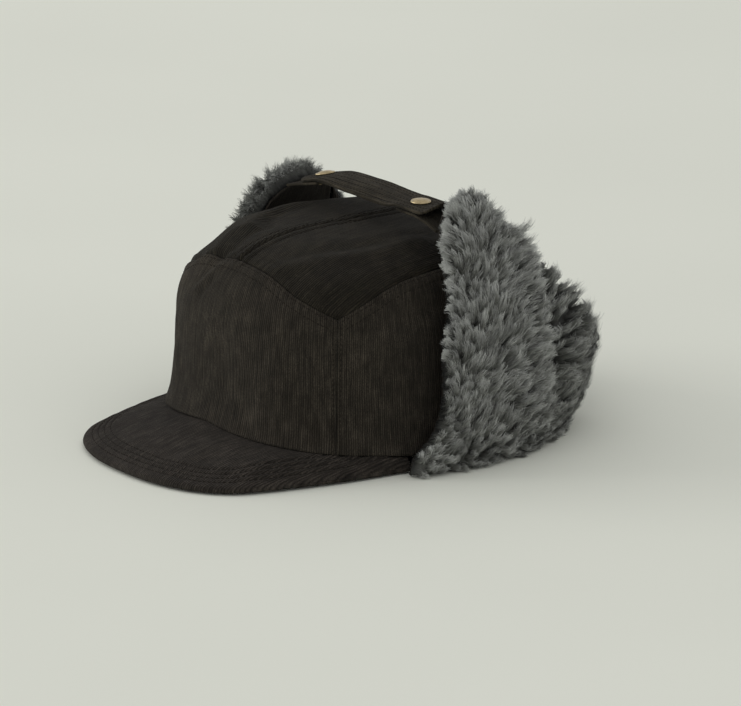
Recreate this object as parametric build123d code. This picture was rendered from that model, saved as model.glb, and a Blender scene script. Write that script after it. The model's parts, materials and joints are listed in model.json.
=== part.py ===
from build123d import *
import math
import os

os.makedirs("parts", exist_ok=True)

# ---------------------------------------------------------------------------
# Trapper hat: short-brimmed corduroy crown, one-piece ear and neck flap with
# a long pile facing, folded up and held over the crown by a snapped strap.
# Millimetres. +Z up, the brim points along -Y, the wearer's left is +X.
# The origin is on the surface the hat stands on, under the middle of the box
# around the whole hat.
# ---------------------------------------------------------------------------

# crown
Y0 = 12.65             # crown centre, ahead of which the brim stands
CROWN_A = 105.3        # half length of the crown at its edge
CROWN_B = 95.4         # half width of the crown at its edge
CROWN_E = 2.40         # squareness of the crown's oval
CROWN_N = 4.03         # squareness of the crown's profile
CROWN_TOP = 120.7      # height of the crown's top
CROWN_FLARE = 0.06     # how far the wall flares at its lower edge
CLOTH = 1.6            # corduroy with its backing
V_TIP = 48.0           # angle of the side seam and of the top panel's points
SEAM_GAP = 0.35        # room between two sewn panels

# brim
BRIM_END = 72.0        # angle at which each end of the brim runs out
BRIM_EDGE_TOP = 4.4    # top of the brim's edge above the surface
COVER_T = 1.2
BOARD_T = 1.6

# flaps
FLAP_Z0 = 0.85         # lowest point of the moving flaps
FOLD_Z = 0.2           # height of the fold lines
SHELL_U = 8.6          # middle of the flap's cloth outside the crown's edge
SHELL_T = 2.6          # corduroy, interlining and the pile's backing
PILE_T = 15.5          # pile standing on the outside of the folded flap
EAR_BACK = 118.0       # angle where the ear flap meets the corner
NECK_EDGE = 150.0      # angle where the corner meets the neck flap
PANEL_GAP = 0.35       # degrees left at each of those lines

# strap and snaps
STRAP_Y = 14.0         # middle of the strap ahead of the crown's centre
STRAP_W = 25.0
STRAP_T = 2.0
TAB_T = 1.8
TAB_W = 24.0
SNAP_R = 5.8
SNAP_X_LEFT = 45.4
SNAP_X_RIGHT = -44.0


def interp(x, xs, ys):
    """Piecewise smooth interpolation (monotone cubic) through a table."""
    n = len(xs)
    if x <= xs[0]:
        return ys[0]
    if x >= xs[-1]:
        return ys[-1]
    d = [(ys[i + 1] - ys[i]) / (xs[i + 1] - xs[i]) for i in range(n - 1)]
    m = [d[0]] + [0.0] * (n - 2) + [d[-1]]
    for i in range(1, n - 1):
        if d[i - 1] * d[i] > 0:
            h0, h1 = xs[i] - xs[i - 1], xs[i + 1] - xs[i]
            w0, w1 = 2 * h1 + h0, h1 + 2 * h0
            m[i] = (w0 + w1) / (w0 / d[i - 1] + w1 / d[i])
    i = max(k for k in range(n - 1) if xs[k] <= x)
    h = xs[i + 1] - xs[i]
    s = (x - xs[i]) / h
    return (
        ys[i] * (1 + 2 * s) * (1 - s) ** 2
        + m[i] * h * s * (1 - s) ** 2
        + ys[i + 1] * s * s * (3 - 2 * s)
        + m[i + 1] * h * s * s * (s - 1)
    )


def frange(a, b, n):
    return [a + (b - a) * i / (n - 1) for i in range(n)]


def fold(deg):
    return abs((deg + 180.0) % 360.0 - 180.0)


def base_r(deg):
    c, s = math.cos(math.radians(deg)), math.sin(math.radians(deg))
    return ((abs(c) / CROWN_A) ** CROWN_E + (abs(s) / CROWN_B) ** CROWN_E) ** (-1 / CROWN_E)


def edge_z(deg):
    """Height of the crown's lower edge: the brim holds its front up."""
    return interp(
        fold(deg),
        [0, 20, 35, 45, 60, 75, 90, 180],
        [21.4, 18.0, 15.6, 13.9, 11.7, 8.6, 7.7, 7.7],
    )


def at(deg, r, z):
    a = math.radians(deg)
    return (r * math.sin(a), Y0 - r * math.cos(a), z)


def crown_pt(deg, s, off=0.0):
    """Point on the crown: s runs from 0 at its edge to 1 at its top."""
    f = max(0.0, 1 - s ** CROWN_N) ** (1 / CROWN_N)
    g = 1 + CROWN_FLARE * (math.exp(-s / 0.12) - 1)
    top = CROWN_TOP + off
    return at(deg, (base_r(deg) + off) * f * g, edge_z(deg) + (top - edge_z(deg)) * s)


def crown_z(x, y, off=0.0):
    """Height of the crown over a point of its upper half."""
    dy = y - Y0
    deg = math.degrees(math.atan2(x, -dy))
    r = math.hypot(x, dy)
    f = min(1.0, r / ((base_r(deg) + off) * (1 - CROWN_FLARE)))
    s = max(0.0, 1 - f ** CROWN_N) ** (1 / CROWN_N)
    return edge_z(deg) + (CROWN_TOP + off - edge_z(deg)) * s


def top_seam(deg):
    """Where the top panels meet the lower ones: low at the side points."""
    d = fold(deg)
    if d <= V_TIP:
        return interp(d, [0, 8, 20, 34, V_TIP], [0.885, 0.880, 0.859, 0.780, 0.693])
    return interp(d, [V_TIP, 58, 67, 76, 100, 180], [0.693, 0.768, 0.824, 0.854, 0.875, 0.880])


def slab(outer, inner):
    """A closed solid between two grids of points, with four ruled sides."""
    fo = Face.make_surface_from_array_of_points(outer, tol=0.01)
    fi = Face.make_surface_from_array_of_points(inner, tol=0.01)

    def sides(face, g):
        mids = [
            g[0][len(g[0]) // 2],
            g[-1][len(g[0]) // 2],
            g[len(g) // 2][0],
            g[len(g) // 2][-1],
        ]
        out = []
        for m in mids:
            out.append(min(face.edges(), key=lambda e: e.distance_to(Vector(*m))))
        return out

    walls = []
    for a, b in zip(sides(fo, outer), sides(fi, inner)):
        if (a.position_at(0) - b.position_at(0)).length > (
            a.position_at(0) - b.position_at(1)
        ).length:
            b = b.reversed()
        walls.append(Face.make_surface_from_curves(a, b))
    shells = Face.sew_faces([fo, fi] + walls)
    solid = Solid(Shell(shells[0]))
    if solid.volume < 0:
        solid = Solid(Shell([-f for f in shells[0]]))
    return solid


def save(shape, name):
    export_step(shape, f"parts/{name}.step")


def flip(grid):
    """The same grid on the hat's other side."""
    return [[(-x, y, z) for x, y, z in reversed(row)] for row in grid]


def pair(grids, left, right):
    """Make a piece and its opposite hand from its two grids."""
    save(slab(*grids), left)
    save(slab(flip(grids[0]), flip(grids[1])), right)


# ---------------------------------------------------------------------------
# Crown: a front panel, two side panels that meet at the back, and two top
# panels whose pointed corners reach down to the side seams.
# ---------------------------------------------------------------------------
GA = 0.12              # half of the gap between panels, degrees
GS = 0.0030            # the same along the profile
TOP_GS = 0.0080        # a little more along the top panels, round their points


def lower_panel(d0, d1, off, t, nd, ns=11, low=0.0):
    out, inn = [], []
    for k in frange(0, 1, ns):
        ro, ri = [], []
        for d in frange(d0, d1, nd):
            s = low + (top_seam(d) - GS - low) * k
            ro.append(crown_pt(d, s, off))
            ri.append(crown_pt(d, s, off - t))
        out.append(ro)
        inn.append(ri)
    return out, inn


def half_top(off, t, m=9):
    """Left top panel, from the middle seam out to the side points."""
    degs = (
        frange(1.4, 37, 12)
        + frange(39, 46.5, 6)
        + [47.3, 47.7, 48.0, 48.3, 48.7]
        + frange(49.5, 58, 7)
        + frange(60, 178.6, 26)
    )
    n = len(degs)
    c0 = crown_pt(degs[0], top_seam(degs[0]) + TOP_GS)
    c1 = crown_pt(degs[-1], top_seam(degs[-1]) + TOP_GS)
    out, inn = [], []
    for i, d in enumerate(degs):
        b = crown_pt(d, top_seam(d) + TOP_GS)
        f = d / 180.0
        y = c0[1] + (c1[1] - c0[1]) * (0.5 - 0.5 * math.cos(math.pi * f))
        ro, ri = [], []
        for k in frange(0, 1, m):
            x = 0.15 + (b[0] - 0.15) * k
            yy = y + (b[1] - y) * k
            ro.append((x, yy, crown_z(x, yy, off)))
            ri.append((x, yy, crown_z(x, yy, off) - t * 1.12))
        out.append(ro)
        inn.append(ri)
    return out, inn


save(slab(*lower_panel(-V_TIP + GA, V_TIP - GA, 0, CLOTH, 33)), "crown_front_panel")
pair(
    lower_panel(V_TIP + GA, 180 - GA, 0, CLOTH, 41),
    "crown_left_side_panel",
    "crown_right_side_panel",
)
pair(half_top(0, CLOTH), "crown_top_left_panel", "crown_top_right_panel")

# Lining: a side band butted at the back, and a round top piece.
LIN_OFF, LIN_T = -2.6, 0.7
LIN_S = 0.82


def lining_side():
    out, inn = [], []
    for k in frange(0.03, LIN_S, 11):
        ro, ri = [], []
        for d in frange(-179.85, 179.85, 73):
            ro.append(crown_pt(d, k, LIN_OFF))
            ri.append(crown_pt(d, k, LIN_OFF - LIN_T))
        out.append(ro)
        inn.append(ri)
    return slab(out, inn)


def lining_top(n=31, m=15):
    degs = frange(5, 175, n)
    out, inn = [], []
    for d in degs:
        b = crown_pt(d, LIN_S + 0.012, LIN_OFF)
        ro, ri = [], []
        for k in frange(-1, 1, m):
            x = b[0] * k
            ro.append((x, b[1], crown_z(x, b[1], LIN_OFF - 0.1)))
            ri.append((x, b[1], crown_z(x, b[1], LIN_OFF - 0.1) - LIN_T * 1.1))
        out.append(ro)
        inn.append(ri)
    return slab(out, inn)


save(lining_side(), "lining_side_band")
save(lining_top(), "lining_top_piece")

# Sweatband inside the edge, butted at the back, and a blank sewn-in label.
SWEAT_H = 31.0


def ring_band(off, t, z_lo, z_hi, d0, d1, nd):
    out, inn = [], []
    for k in frange(0, 1, 5):
        ro, ri = [], []
        for d in frange(d0, d1, nd):
            z = z_lo + (z_hi - z_lo) * k
            s = (z) / (CROWN_TOP - edge_z(d))
            g = 1 + CROWN_FLARE * (math.exp(-s / 0.12) - 1)
            f = max(0.0, 1 - s ** CROWN_N) ** (1 / CROWN_N)
            r = base_r(d) * f * g
            ro.append(at(d, r + off, edge_z(d) + z))
            ri.append(at(d, r + off - t, edge_z(d) + z))
        out.append(ro)
        inn.append(ri)
    return slab(out, inn)


save(ring_band(-3.8, 1.3, 0.3, SWEAT_H, -179.8, 179.8, 73), "sweatband")
save(ring_band(-5.3, 0.4, 6.0, 30.0, 171.5, 187.5, 9), "care_label")

# ---------------------------------------------------------------------------
# Brim: a stiff board between an upper and an under cover.
# ---------------------------------------------------------------------------
BRIM_DEG = [0, 8, 15, 21, 27, 34, 41.5, 50, 60, 66, BRIM_END]
BRIM_R = [161.4, 161.6, 160.6, 158.0, 152.2, 139.9, 127.2, 116.6, 107.4, 103.6, 101.0]


def brim_outline(deg):
    return interp(fold(deg), BRIM_DEG, BRIM_R)


def brim_top(deg, v):
    """Height of the brim's upper side; v runs from the crown to the edge."""
    a = edge_z(deg) - 0.5
    w = min(1.0, (brim_outline(deg) - base_r(deg)) / 58.0)
    return a + (BRIM_EDGE_TOP - a) * v + 2.6 * w * math.sin(math.pi * v)


def brim_layer(drop, t, v0, v1, end, name):
    out, inn = [], []
    for k in frange(0, 1, 9):
        v = v0 + (v1 - v0) * k
        ro, ri = [], []
        for d in frange(-end, end, 61):
            r0 = base_r(d) - 1.8
            r = r0 + (brim_outline(d) - r0) * v
            z = brim_top(d, v) - drop
            ro.append(at(d, r, z))
            ri.append(at(d, r, z - t))
        out.append(ro)
        inn.append(ri)
    save(slab(out, inn), name)


brim_layer(0.0, COVER_T, 0.0, 1.0, BRIM_END - 0.3, "brim_upper_cover")
brim_layer(COVER_T + 0.1, BOARD_T, 0.03, 0.975, BRIM_END - 3.0, "brim_board")
brim_layer(COVER_T + BOARD_T + 0.2, COVER_T + 0.2, 0.0, 1.0, BRIM_END - 0.3, "brim_under_cover")

# ---------------------------------------------------------------------------
# Root binding: the thick seam under the crown's edge that the flaps hang from.
# Its flat underside stands on the surface.
# ---------------------------------------------------------------------------
ROOT_U0, ROOT_U1, ROOT_H = -2.6, 5.2, 7.1


def root_binding():
    """A ring segment with a flat underside, open over the brim."""
    degs = frange(BRIM_END + 1.2, 360 - BRIM_END - 1.2, 61)
    outer = [Vector(*at(d, base_r(d) + ROOT_U1, 0.0)) for d in degs]
    inner = [Vector(*at(d, base_r(d) + ROOT_U0, 0.0)) for d in degs]
    edges = [
        Edge.make_spline(outer),
        Edge.make_line(outer[-1], inner[-1]),
        Edge.make_spline(inner),
        Edge.make_line(inner[0], outer[0]),
    ]
    return extrude(Face(Wire(edges)), ROOT_H, dir=(0, 0, 1))


save(root_binding(), "flap_root_binding")

# ---------------------------------------------------------------------------
# Flaps, folded up: cloth towards the crown, pile outside. One long flap runs
# round the ears and the neck; it is divided at the fold corners.
# ---------------------------------------------------------------------------
# How far the ear flaps' cloth stands outside the crown's edge, by height. The
# right one is drawn further in over the crown, so its free edge is lower.
LEAN = {
    1: ([0, 20, 40, 71, 83, 95, 110, 126, 142, 152], [8.6, 8.4, 6.2, 2.5, -0.4, -4.2, -10.0, -16.6, -23.6, -28.5]),
    -1: ([0, 20, 40, 71, 83, 95, 107, 119, 133, 142], [8.6, 8.2, 5.6, -0.6, -4.6, -9.6, -15.0, -20.8, -28.6, -33.0]),
}
# Angle of the ear flaps' front edge, by height.
FRONT = {
    1: ([0, 10, 20, 40, 71, 83, 95, 126, 143], [70.0, 71.5, 77.0, 82.0, 83.6, 86.2, 88.0, 91.2, 96.0]),
    -1: ([0, 10, 20, 40, 71, 95, 107, 119, 128], [70.0, 71.5, 77.0, 81.6, 83.6, 86.0, 88.4, 91.6, 96.0]),
}
# Height of the free edge, by angle.
EDGE = {
    1: ([88, 95, 101, 108, 113, 118], [133, 142, 144.5, 137.5, 126.5, 115]),
    -1: ([88, 95, 101, 108, 113, 118], [114, 120.5, 123.5, 123.3, 120, 115]),
}
EDGE_BACK = ([118, 128, 135, 141, 150, 165, 180], [115, 86, 69, 58.5, 51, 48, 47.5])


def lean(deg, z, side=1):
    """How far the flap's cloth stands outside the crown's edge."""
    d = fold(deg)
    ear = interp(z, *LEAN[side])
    neck = interp(z, [0, 15, 35, 50, 62, 130], [8.6, 9.2, 13.6, 17.0, 16.0, -8.0])
    w = interp(d, [92, 108, 118, 128, 142], [0.0, 0.10, 0.36, 0.80, 1.0])
    return ear + (neck - ear) * w


def flap_top(deg, side=1):
    """Height of the flap's free edge."""
    d = fold(deg)
    return interp(d, *EDGE[side]) if d <= EAR_BACK else interp(d, *EDGE_BACK)


FOLD_U = 8.6           # fold axes stand this far outside the crown's edge
EAR_FRONT = 70.0


def chord(d0, d1):
    """Ends of a flap panel's fold axis."""
    a, b = (at(d, base_r(d) + FOLD_U, 0.0) for d in (d0, d1))
    return a, b


CHORDS = [
    chord(EAR_FRONT, EAR_BACK - 0.35),
    chord(EAR_BACK + 0.35, NECK_EDGE - 0.35),
    chord(NECK_EDGE + 0.35, 360 - NECK_EDGE - 0.35),
    chord(360 - NECK_EDGE + 0.35, 360 - EAR_BACK - 0.35),
]


def half_turn(k):
    """Half of the angle between fold axis k and the next one."""
    h = [math.atan2(c[1][1] - c[0][1], c[1][0] - c[0][0]) for c in CHORDS[k : k + 2]]
    return abs((h[1] - h[0] + math.pi) % (2 * math.pi) - math.pi) / 2


def fit_row(row, k, lo=True, hi=True, gap=0.35):
    """Draw a row of a panel in from its corners.

    At a corner two fold axes meet at an angle, so whatever stands out from an
    axis by u stands in from it by u when the flap is folded down. Keeping every
    point u * tan(half the angle) short of the corner leaves room both ways.
    """
    (x0, y0, _), (x1, y1, _) = CHORDS[k]
    length = math.hypot(x1 - x0, y1 - y0)
    tx, ty = (x1 - x0) / length, (y1 - y0) / length
    nx, ny = ty, -tx
    su = [((x - x0) * tx + (y - y0) * ty, (x - x0) * nx + (y - y0) * ny) for x, y, _ in row]
    a, b = su[0][0], su[-1][0]
    new_a, new_b = a, b
    if lo:
        new_a = abs(su[0][1]) * math.tan(half_turn(k - 1)) + gap
    if hi:
        new_b = length - abs(su[-1][1]) * math.tan(half_turn(k)) - gap
    out = []
    for (sv, uv), (_, _, z) in zip(su, row):
        f = (sv - a) / (b - a)
        sv = new_a + (new_b - new_a) * f
        out.append((x0 + tx * sv + nx * uv, y0 + ty * sv + ny * uv, z))
    return out


def ear_grid(side, u_add, lo, hi_add, w0=0.0, gap=0.35, n=25, m=17):
    """Grid over an ear flap, offset outward by u_add. side is 1 or -1."""
    rows = []
    for h in frange(0, 1, m):
        row = []
        for w in frange(w0, 1.0, n):
            zt = flap_top(90.0 + (EAR_BACK - PANEL_GAP - 90.0) * w, side) + hi_add
            if w < 0.12:
                zt -= (0.12 - w) ** 2 * 260
            z = lo + (zt - lo) * h
            front = interp(z, *FRONT[side])
            d = front + (EAR_BACK - PANEL_GAP - front) * w
            add = u_add(w, h) if callable(u_add) else u_add
            row.append(at(d, base_r(d) + lean(d, z, side) + add, z))
        rows.append(fit_row(row, 0, lo=False, gap=gap))
    return rows


def span_grid(k, d0, d1, u_add, lo, hi_add, gap=0.35, n=17, m=11):
    rows = []
    for h in frange(0, 1, m):
        row = []
        for d in frange(d0, d1, n):
            w = (d - d0) / (d1 - d0)
            zt = flap_top(d) + hi_add
            z = lo + (zt - lo) * h
            add = u_add(w, h) if callable(u_add) else u_add
            row.append(at(d, base_r(d) + lean(d, z) + add, z))
        rows.append(fit_row(row, k, gap=gap))
    return rows


def puff(w, h):
    """Pile thickness over a panel: full in the middle, thinner at its rim."""
    a = min(1.0, 4.0 * h, 5.0 * (1 - h) + 0.35)
    b = min(1.0, 6.0 * w + 0.4, 6.0 * (1 - w) + 0.5)
    a = max(a, 0.3)
    return SHELL_T / 2 + PILE_T * (0.35 + 0.65 * math.sin(0.5 * math.pi * min(a, b)))


H = SHELL_T / 2
for side, tag in ((1, "left"), (-1, "right")):
    cloth = [ear_grid(side, H, FLAP_Z0, 0), ear_grid(side, -H, FLAP_Z0, 0)]
    pile = [
        ear_grid(side, puff, FLAP_Z0 + 0.6, 0.5, 0.03, 0.8),
        ear_grid(side, H + 0.12, FLAP_Z0, 2.0, 0.0, 0.5),
    ]
    if side < 0:
        cloth, pile = [flip(g) for g in cloth], [flip(g) for g in pile]
    save(slab(*cloth), f"{tag}_ear_flap_shell")
    save(slab(*pile), f"{tag}_ear_flap_pile")

CORNER = (1, EAR_BACK + PANEL_GAP, NECK_EDGE - PANEL_GAP)
NECK = (2, NECK_EDGE + PANEL_GAP, 360 - NECK_EDGE - PANEL_GAP)
pair(
    (span_grid(*CORNER, H, FLAP_Z0, 0), span_grid(*CORNER, -H, FLAP_Z0, 0)),
    "left_corner_flap_shell",
    "right_corner_flap_shell",
)
pair(
    (
        span_grid(*CORNER, puff, FLAP_Z0 + 0.6, 0.5, 0.8),
        span_grid(*CORNER, H + 0.12, FLAP_Z0, 2.0, 0.5),
    ),
    "left_corner_flap_pile",
    "right_corner_flap_pile",
)

neck_shell = slab(
    span_grid(*NECK, H, FLAP_Z0, 0, n=25),
    span_grid(*NECK, -H, FLAP_Z0, 0, n=25),
)
save(neck_shell, "neck_flap_shell")
neck_pile = slab(
    span_grid(*NECK, puff, FLAP_Z0 + 0.6, 0.5, 0.8, n=25),
    span_grid(*NECK, H + 0.14, FLAP_Z0, 2.0, 0.5, n=25),
)
save(neck_pile, "neck_flap_pile")

# ---------------------------------------------------------------------------
# Strap over the crown, a tab on each ear flap, and two snap fasteners.
# ---------------------------------------------------------------------------
STRAP_ENDS = (-58.0, 68.5)
STRAP_X = [
    -58.0, -52.0, -44.0, -37.0, -34.5, -28.0, -14.0, 0.0, 13.0, 26.0, 38.0, 45.4, 53.0, 60.0, 68.5,
]
STRAP_Z = [
    130.5, 132.0, 134.0, 135.75, 136.3, 137.2, 138.0, 138.4, 138.1, 137.4, 137.3, 137.3, 137.3, 138.5, 142.6,
]
FAR_TILT = math.degrees(math.atan(0.25))   # the strap slopes down to the right flap


def strap_z(x):
    return interp(x, STRAP_X, STRAP_Z)


def half_width(x, x0, x1, w, r0, r1):
    """Half width of a strip with rounded ends of radius r0 and r1."""
    h = w / 2
    for xe, r, sg in ((x0, r0, 1), (x1, r1, -1)):
        d = (x - xe) * sg
        if r > 0 and d < r:
            h = min(h, w / 2 - r + math.sqrt(max(0.0, r * r - (r - d) ** 2)))
    return h


def strip(x0, x1, w, z_of, t, r0, r1, n=41):
    hi, lo = [], []
    for i in range(n):
        x = x0 + (x1 - x0) * (0.5 - 0.5 * math.cos(math.pi * i / (n - 1)))
        h = max(2.0, half_width(x, x0, x1, w, r0, r1))
        y = Y0 + STRAP_Y
        hi.append([(x, y + h * k, z_of(x)) for k in (-1, -0.5, 0, 0.5, 1)])
        lo.append([(x, y + h * k, z_of(x) - t) for k in (-1, -0.5, 0, 0.5, 1)])
    return slab(hi, lo)


def seat(x, z):
    """A place on the strap, square to it."""
    tilt = -FAR_TILT if x < 0 else 0.0
    return Pos(x, Y0 + STRAP_Y, z) * Rot(0, tilt, 0)


def bored(shape, x, r):
    return shape - seat(x, strap_z(x)) * Cylinder(r, 30)


strap = strip(*STRAP_ENDS, STRAP_W, strap_z, STRAP_T, 11.5, 11.5, 61)
strap = bored(bored(strap, SNAP_X_LEFT, 1.9), SNAP_X_RIGHT, 1.9)
save(strap, "top_strap")

TAB_DROP = STRAP_T + 0.95        # the snap's own height between strap and tab
LEFT_ROOT_X = 73.6               # left tab, sewn inside the left flap
RIGHT_ROOT_X = 65.2              # right tab, which bends just inside its flap


def left_tab_z(x):
    """The left tab follows the strap, then falls to its root in the flap."""
    return interp(
        x,
        [31.0, 38.0, 45.4, 53.0, 60.0, 66.0, LEFT_ROOT_X],
        [134.42, 134.35, 134.35, 134.35, 133.3, 131.9, 129.6],
    )


def right_tab_z(x):
    return interp(
        x,
        [-RIGHT_ROOT_X, -58.0, -52.0, -44.0, -37.0, -34.5, -29.0],
        [125.7, 127.55, 129.05, 131.05, 132.8, 133.35, 134.1],
    )


left_tab = strip(31.0, LEFT_ROOT_X, TAB_W, left_tab_z, TAB_T, 11.0, 0)
save(bored(left_tab, SNAP_X_LEFT, 1.9), "left_flap_tab")
right_tab = strip(-RIGHT_ROOT_X, -30.0, TAB_W, right_tab_z, TAB_T, 0, 11.0)
save(bored(right_tab, SNAP_X_RIGHT, 1.9), "right_flap_tab")


def snap_cap():
    """Domed cap with its hollow shank through the strap."""
    dome = Pos(0, 0, 0.35) * Cylinder(SNAP_R, 0.7) + Pos(0, 0, 0.7) * (
        Pos(0, 0, -14.4) * Sphere(15.5) & Pos(0, 0, 1.0) * Cylinder(SNAP_R - 0.25, 2.0)
    )
    return dome + Pos(0, 0, -0.92) * Cylinder(1.8, 2.0)


def snap_socket():
    """Ring under the strap that grips the stud."""
    return Pos(0, 0, -0.21) * (Cylinder(4.6, 0.42) - Cylinder(2.45, 2))


def snap_stud():
    """Stud on the tab: a flange with a waisted button standing on it."""
    return Pos(0, 0, 0.11) * Cylinder(4.6, 0.22) + Pos(0, 0, 0.46) * Cylinder(2.05, 0.48)


def snap_post():
    """Flat-headed post that fixes the stud from under the tab."""
    return Pos(0, 0, -0.3) * Cylinder(4.8, 0.6) + Pos(0, 0, 0.82) * Cylinder(1.8, 1.64)


for tag, x in (("left", SNAP_X_LEFT), ("right", SNAP_X_RIGHT)):
    z = strap_z(x)
    k = math.cos(math.radians(FAR_TILT)) if x < 0 else 1.0
    on = seat(x, z)
    save(on * Pos(0, 0, 0.04) * snap_cap(), f"{tag}_snap_cap")
    save(on * Pos(0, 0, -STRAP_T * k - 0.03) * snap_socket(), f"{tag}_snap_socket")
    save(on * Pos(0, 0, -TAB_DROP * k + 0.03) * snap_stud(), f"{tag}_snap_stud")
    save(on * Pos(0, 0, -(TAB_DROP + TAB_T) * k - 0.04) * snap_post(), f"{tag}_snap_post")
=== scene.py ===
"""Trapper hat: the looks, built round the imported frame. Lengths in this file
are millimetres until a mesh is made, which turns them into metres."""

import json
import math

import bpy
import numpy as np
from mathutils import Matrix, Vector

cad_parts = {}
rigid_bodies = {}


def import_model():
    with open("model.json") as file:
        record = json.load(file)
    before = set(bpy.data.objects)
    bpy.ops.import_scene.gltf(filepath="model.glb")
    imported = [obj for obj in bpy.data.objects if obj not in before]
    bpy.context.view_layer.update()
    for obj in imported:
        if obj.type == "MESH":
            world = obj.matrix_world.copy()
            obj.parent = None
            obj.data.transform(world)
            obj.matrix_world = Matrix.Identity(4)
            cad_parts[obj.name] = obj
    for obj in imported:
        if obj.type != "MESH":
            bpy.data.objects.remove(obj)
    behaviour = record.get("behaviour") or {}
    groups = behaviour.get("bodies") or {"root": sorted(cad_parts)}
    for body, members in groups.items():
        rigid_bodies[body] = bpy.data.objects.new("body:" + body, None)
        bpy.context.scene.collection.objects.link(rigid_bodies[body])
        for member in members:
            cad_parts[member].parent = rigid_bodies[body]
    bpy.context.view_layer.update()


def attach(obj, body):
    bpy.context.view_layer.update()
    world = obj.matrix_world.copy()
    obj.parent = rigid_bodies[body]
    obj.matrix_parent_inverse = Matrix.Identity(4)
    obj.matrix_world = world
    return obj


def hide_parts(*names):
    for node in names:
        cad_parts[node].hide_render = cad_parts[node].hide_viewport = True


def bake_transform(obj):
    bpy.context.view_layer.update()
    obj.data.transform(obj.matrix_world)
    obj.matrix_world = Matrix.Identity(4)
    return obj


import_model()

MM = 0.001
RNG = np.random.default_rng(20261117)

# ---------------------------------------------------------------------------
# The same shape functions that the frame was drawn with
# ---------------------------------------------------------------------------
Y0 = 12.65
CROWN_A, CROWN_B, CROWN_E, CROWN_N = 105.3, 95.4, 2.40, 4.03
CROWN_TOP, CROWN_FLARE, CLOTH = 120.7, 0.06, 1.6
V_TIP = 48.0
BRIM_END, BRIM_EDGE_TOP = 72.0, 4.4
FLAP_Z0, FOLD_U, SHELL_T, PILE_T = 0.85, 8.6, 2.6, 15.5
EAR_FRONT, EAR_BACK, NECK_EDGE, PANEL_GAP = 70.0, 118.0, 150.0, 0.35
STRAP_Y, STRAP_W, STRAP_T, TAB_T, TAB_W = 14.0, 25.0, 2.0, 1.8, 24.0
SNAP_X_LEFT, SNAP_X_RIGHT, TAB_DROP = 45.4, -44.0, 2.95


def table(xs, ys):
    """Monotone cubic through a table, on arrays."""
    xs, ys = np.asarray(xs, float), np.asarray(ys, float)
    h = np.diff(xs)
    d = np.diff(ys) / h
    m = np.zeros(len(xs))
    m[0], m[-1] = d[0], d[-1]
    for i in range(1, len(xs) - 1):
        if d[i - 1] * d[i] > 0:
            w0, w1 = 2 * h[i] + h[i - 1], h[i] + 2 * h[i - 1]
            m[i] = (w0 + w1) / (w0 / d[i - 1] + w1 / d[i])

    def f(x):
        x = np.clip(np.asarray(x, float), xs[0], xs[-1])
        i = np.clip(np.searchsorted(xs, x, side="right") - 1, 0, len(xs) - 2)
        s = (x - xs[i]) / h[i]
        return (
            ys[i] * (1 + 2 * s) * (1 - s) ** 2
            + m[i] * h[i] * s * (1 - s) ** 2
            + ys[i + 1] * s * s * (3 - 2 * s)
            + m[i + 1] * h[i] * s * s * (s - 1)
        )

    return f


def fold(deg):
    return np.abs((np.asarray(deg, float) + 180.0) % 360.0 - 180.0)


def base_r(deg):
    a = np.radians(deg)
    c, s = np.abs(np.cos(a)), np.abs(np.sin(a))
    return ((c / CROWN_A) ** CROWN_E + (s / CROWN_B) ** CROWN_E) ** (-1 / CROWN_E)


_edge = table([0, 20, 35, 45, 60, 75, 90, 180], [21.4, 18.0, 15.6, 13.9, 11.7, 8.6, 7.7, 7.7])
_seam_a = table([0, 8, 20, 34, V_TIP], [0.885, 0.880, 0.859, 0.780, 0.693])
_seam_b = table([V_TIP, 58, 67, 76, 100, 180], [0.693, 0.768, 0.824, 0.854, 0.875, 0.880])
_brim = table(
    [0, 8, 15, 21, 27, 34, 41.5, 50, 60, 66, BRIM_END],
    [161.4, 161.6, 160.6, 158.0, 152.2, 139.9, 127.2, 116.6, 107.4, 103.6, 101.0],
)


def edge_z(deg):
    return _edge(fold(deg))


def top_seam(deg):
    d = fold(deg)
    return np.where(d <= V_TIP, _seam_a(d), _seam_b(d))


def brim_outline(deg):
    return _brim(fold(deg))


def at(deg, r, z):
    a = np.radians(deg)
    x, y = r * np.sin(a), Y0 - r * np.cos(a)
    return np.stack(np.broadcast_arrays(x, y, z), -1)


def crown_pt(deg, s, off=0.0):
    s = np.asarray(s, float)
    f = np.maximum(0.0, 1 - s**CROWN_N) ** (1 / CROWN_N)
    g = 1 + CROWN_FLARE * (np.exp(-s / 0.12) - 1)
    e = edge_z(deg)
    return at(deg, (base_r(deg) + off) * f * g, e + (CROWN_TOP + off - e) * s)


def crown_z(x, y, off=0.0):
    dy = y - Y0
    deg = np.degrees(np.arctan2(x, -dy))
    f = np.minimum(1.0, np.hypot(x, dy) / ((base_r(deg) + off) * (1 - CROWN_FLARE)))
    s = np.maximum(0.0, 1 - f**CROWN_N) ** (1 / CROWN_N)
    return edge_z(deg) + (CROWN_TOP + off - edge_z(deg)) * s


def unit(v):
    return v / np.maximum(np.linalg.norm(v, axis=-1, keepdims=True), 1e-9)


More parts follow.
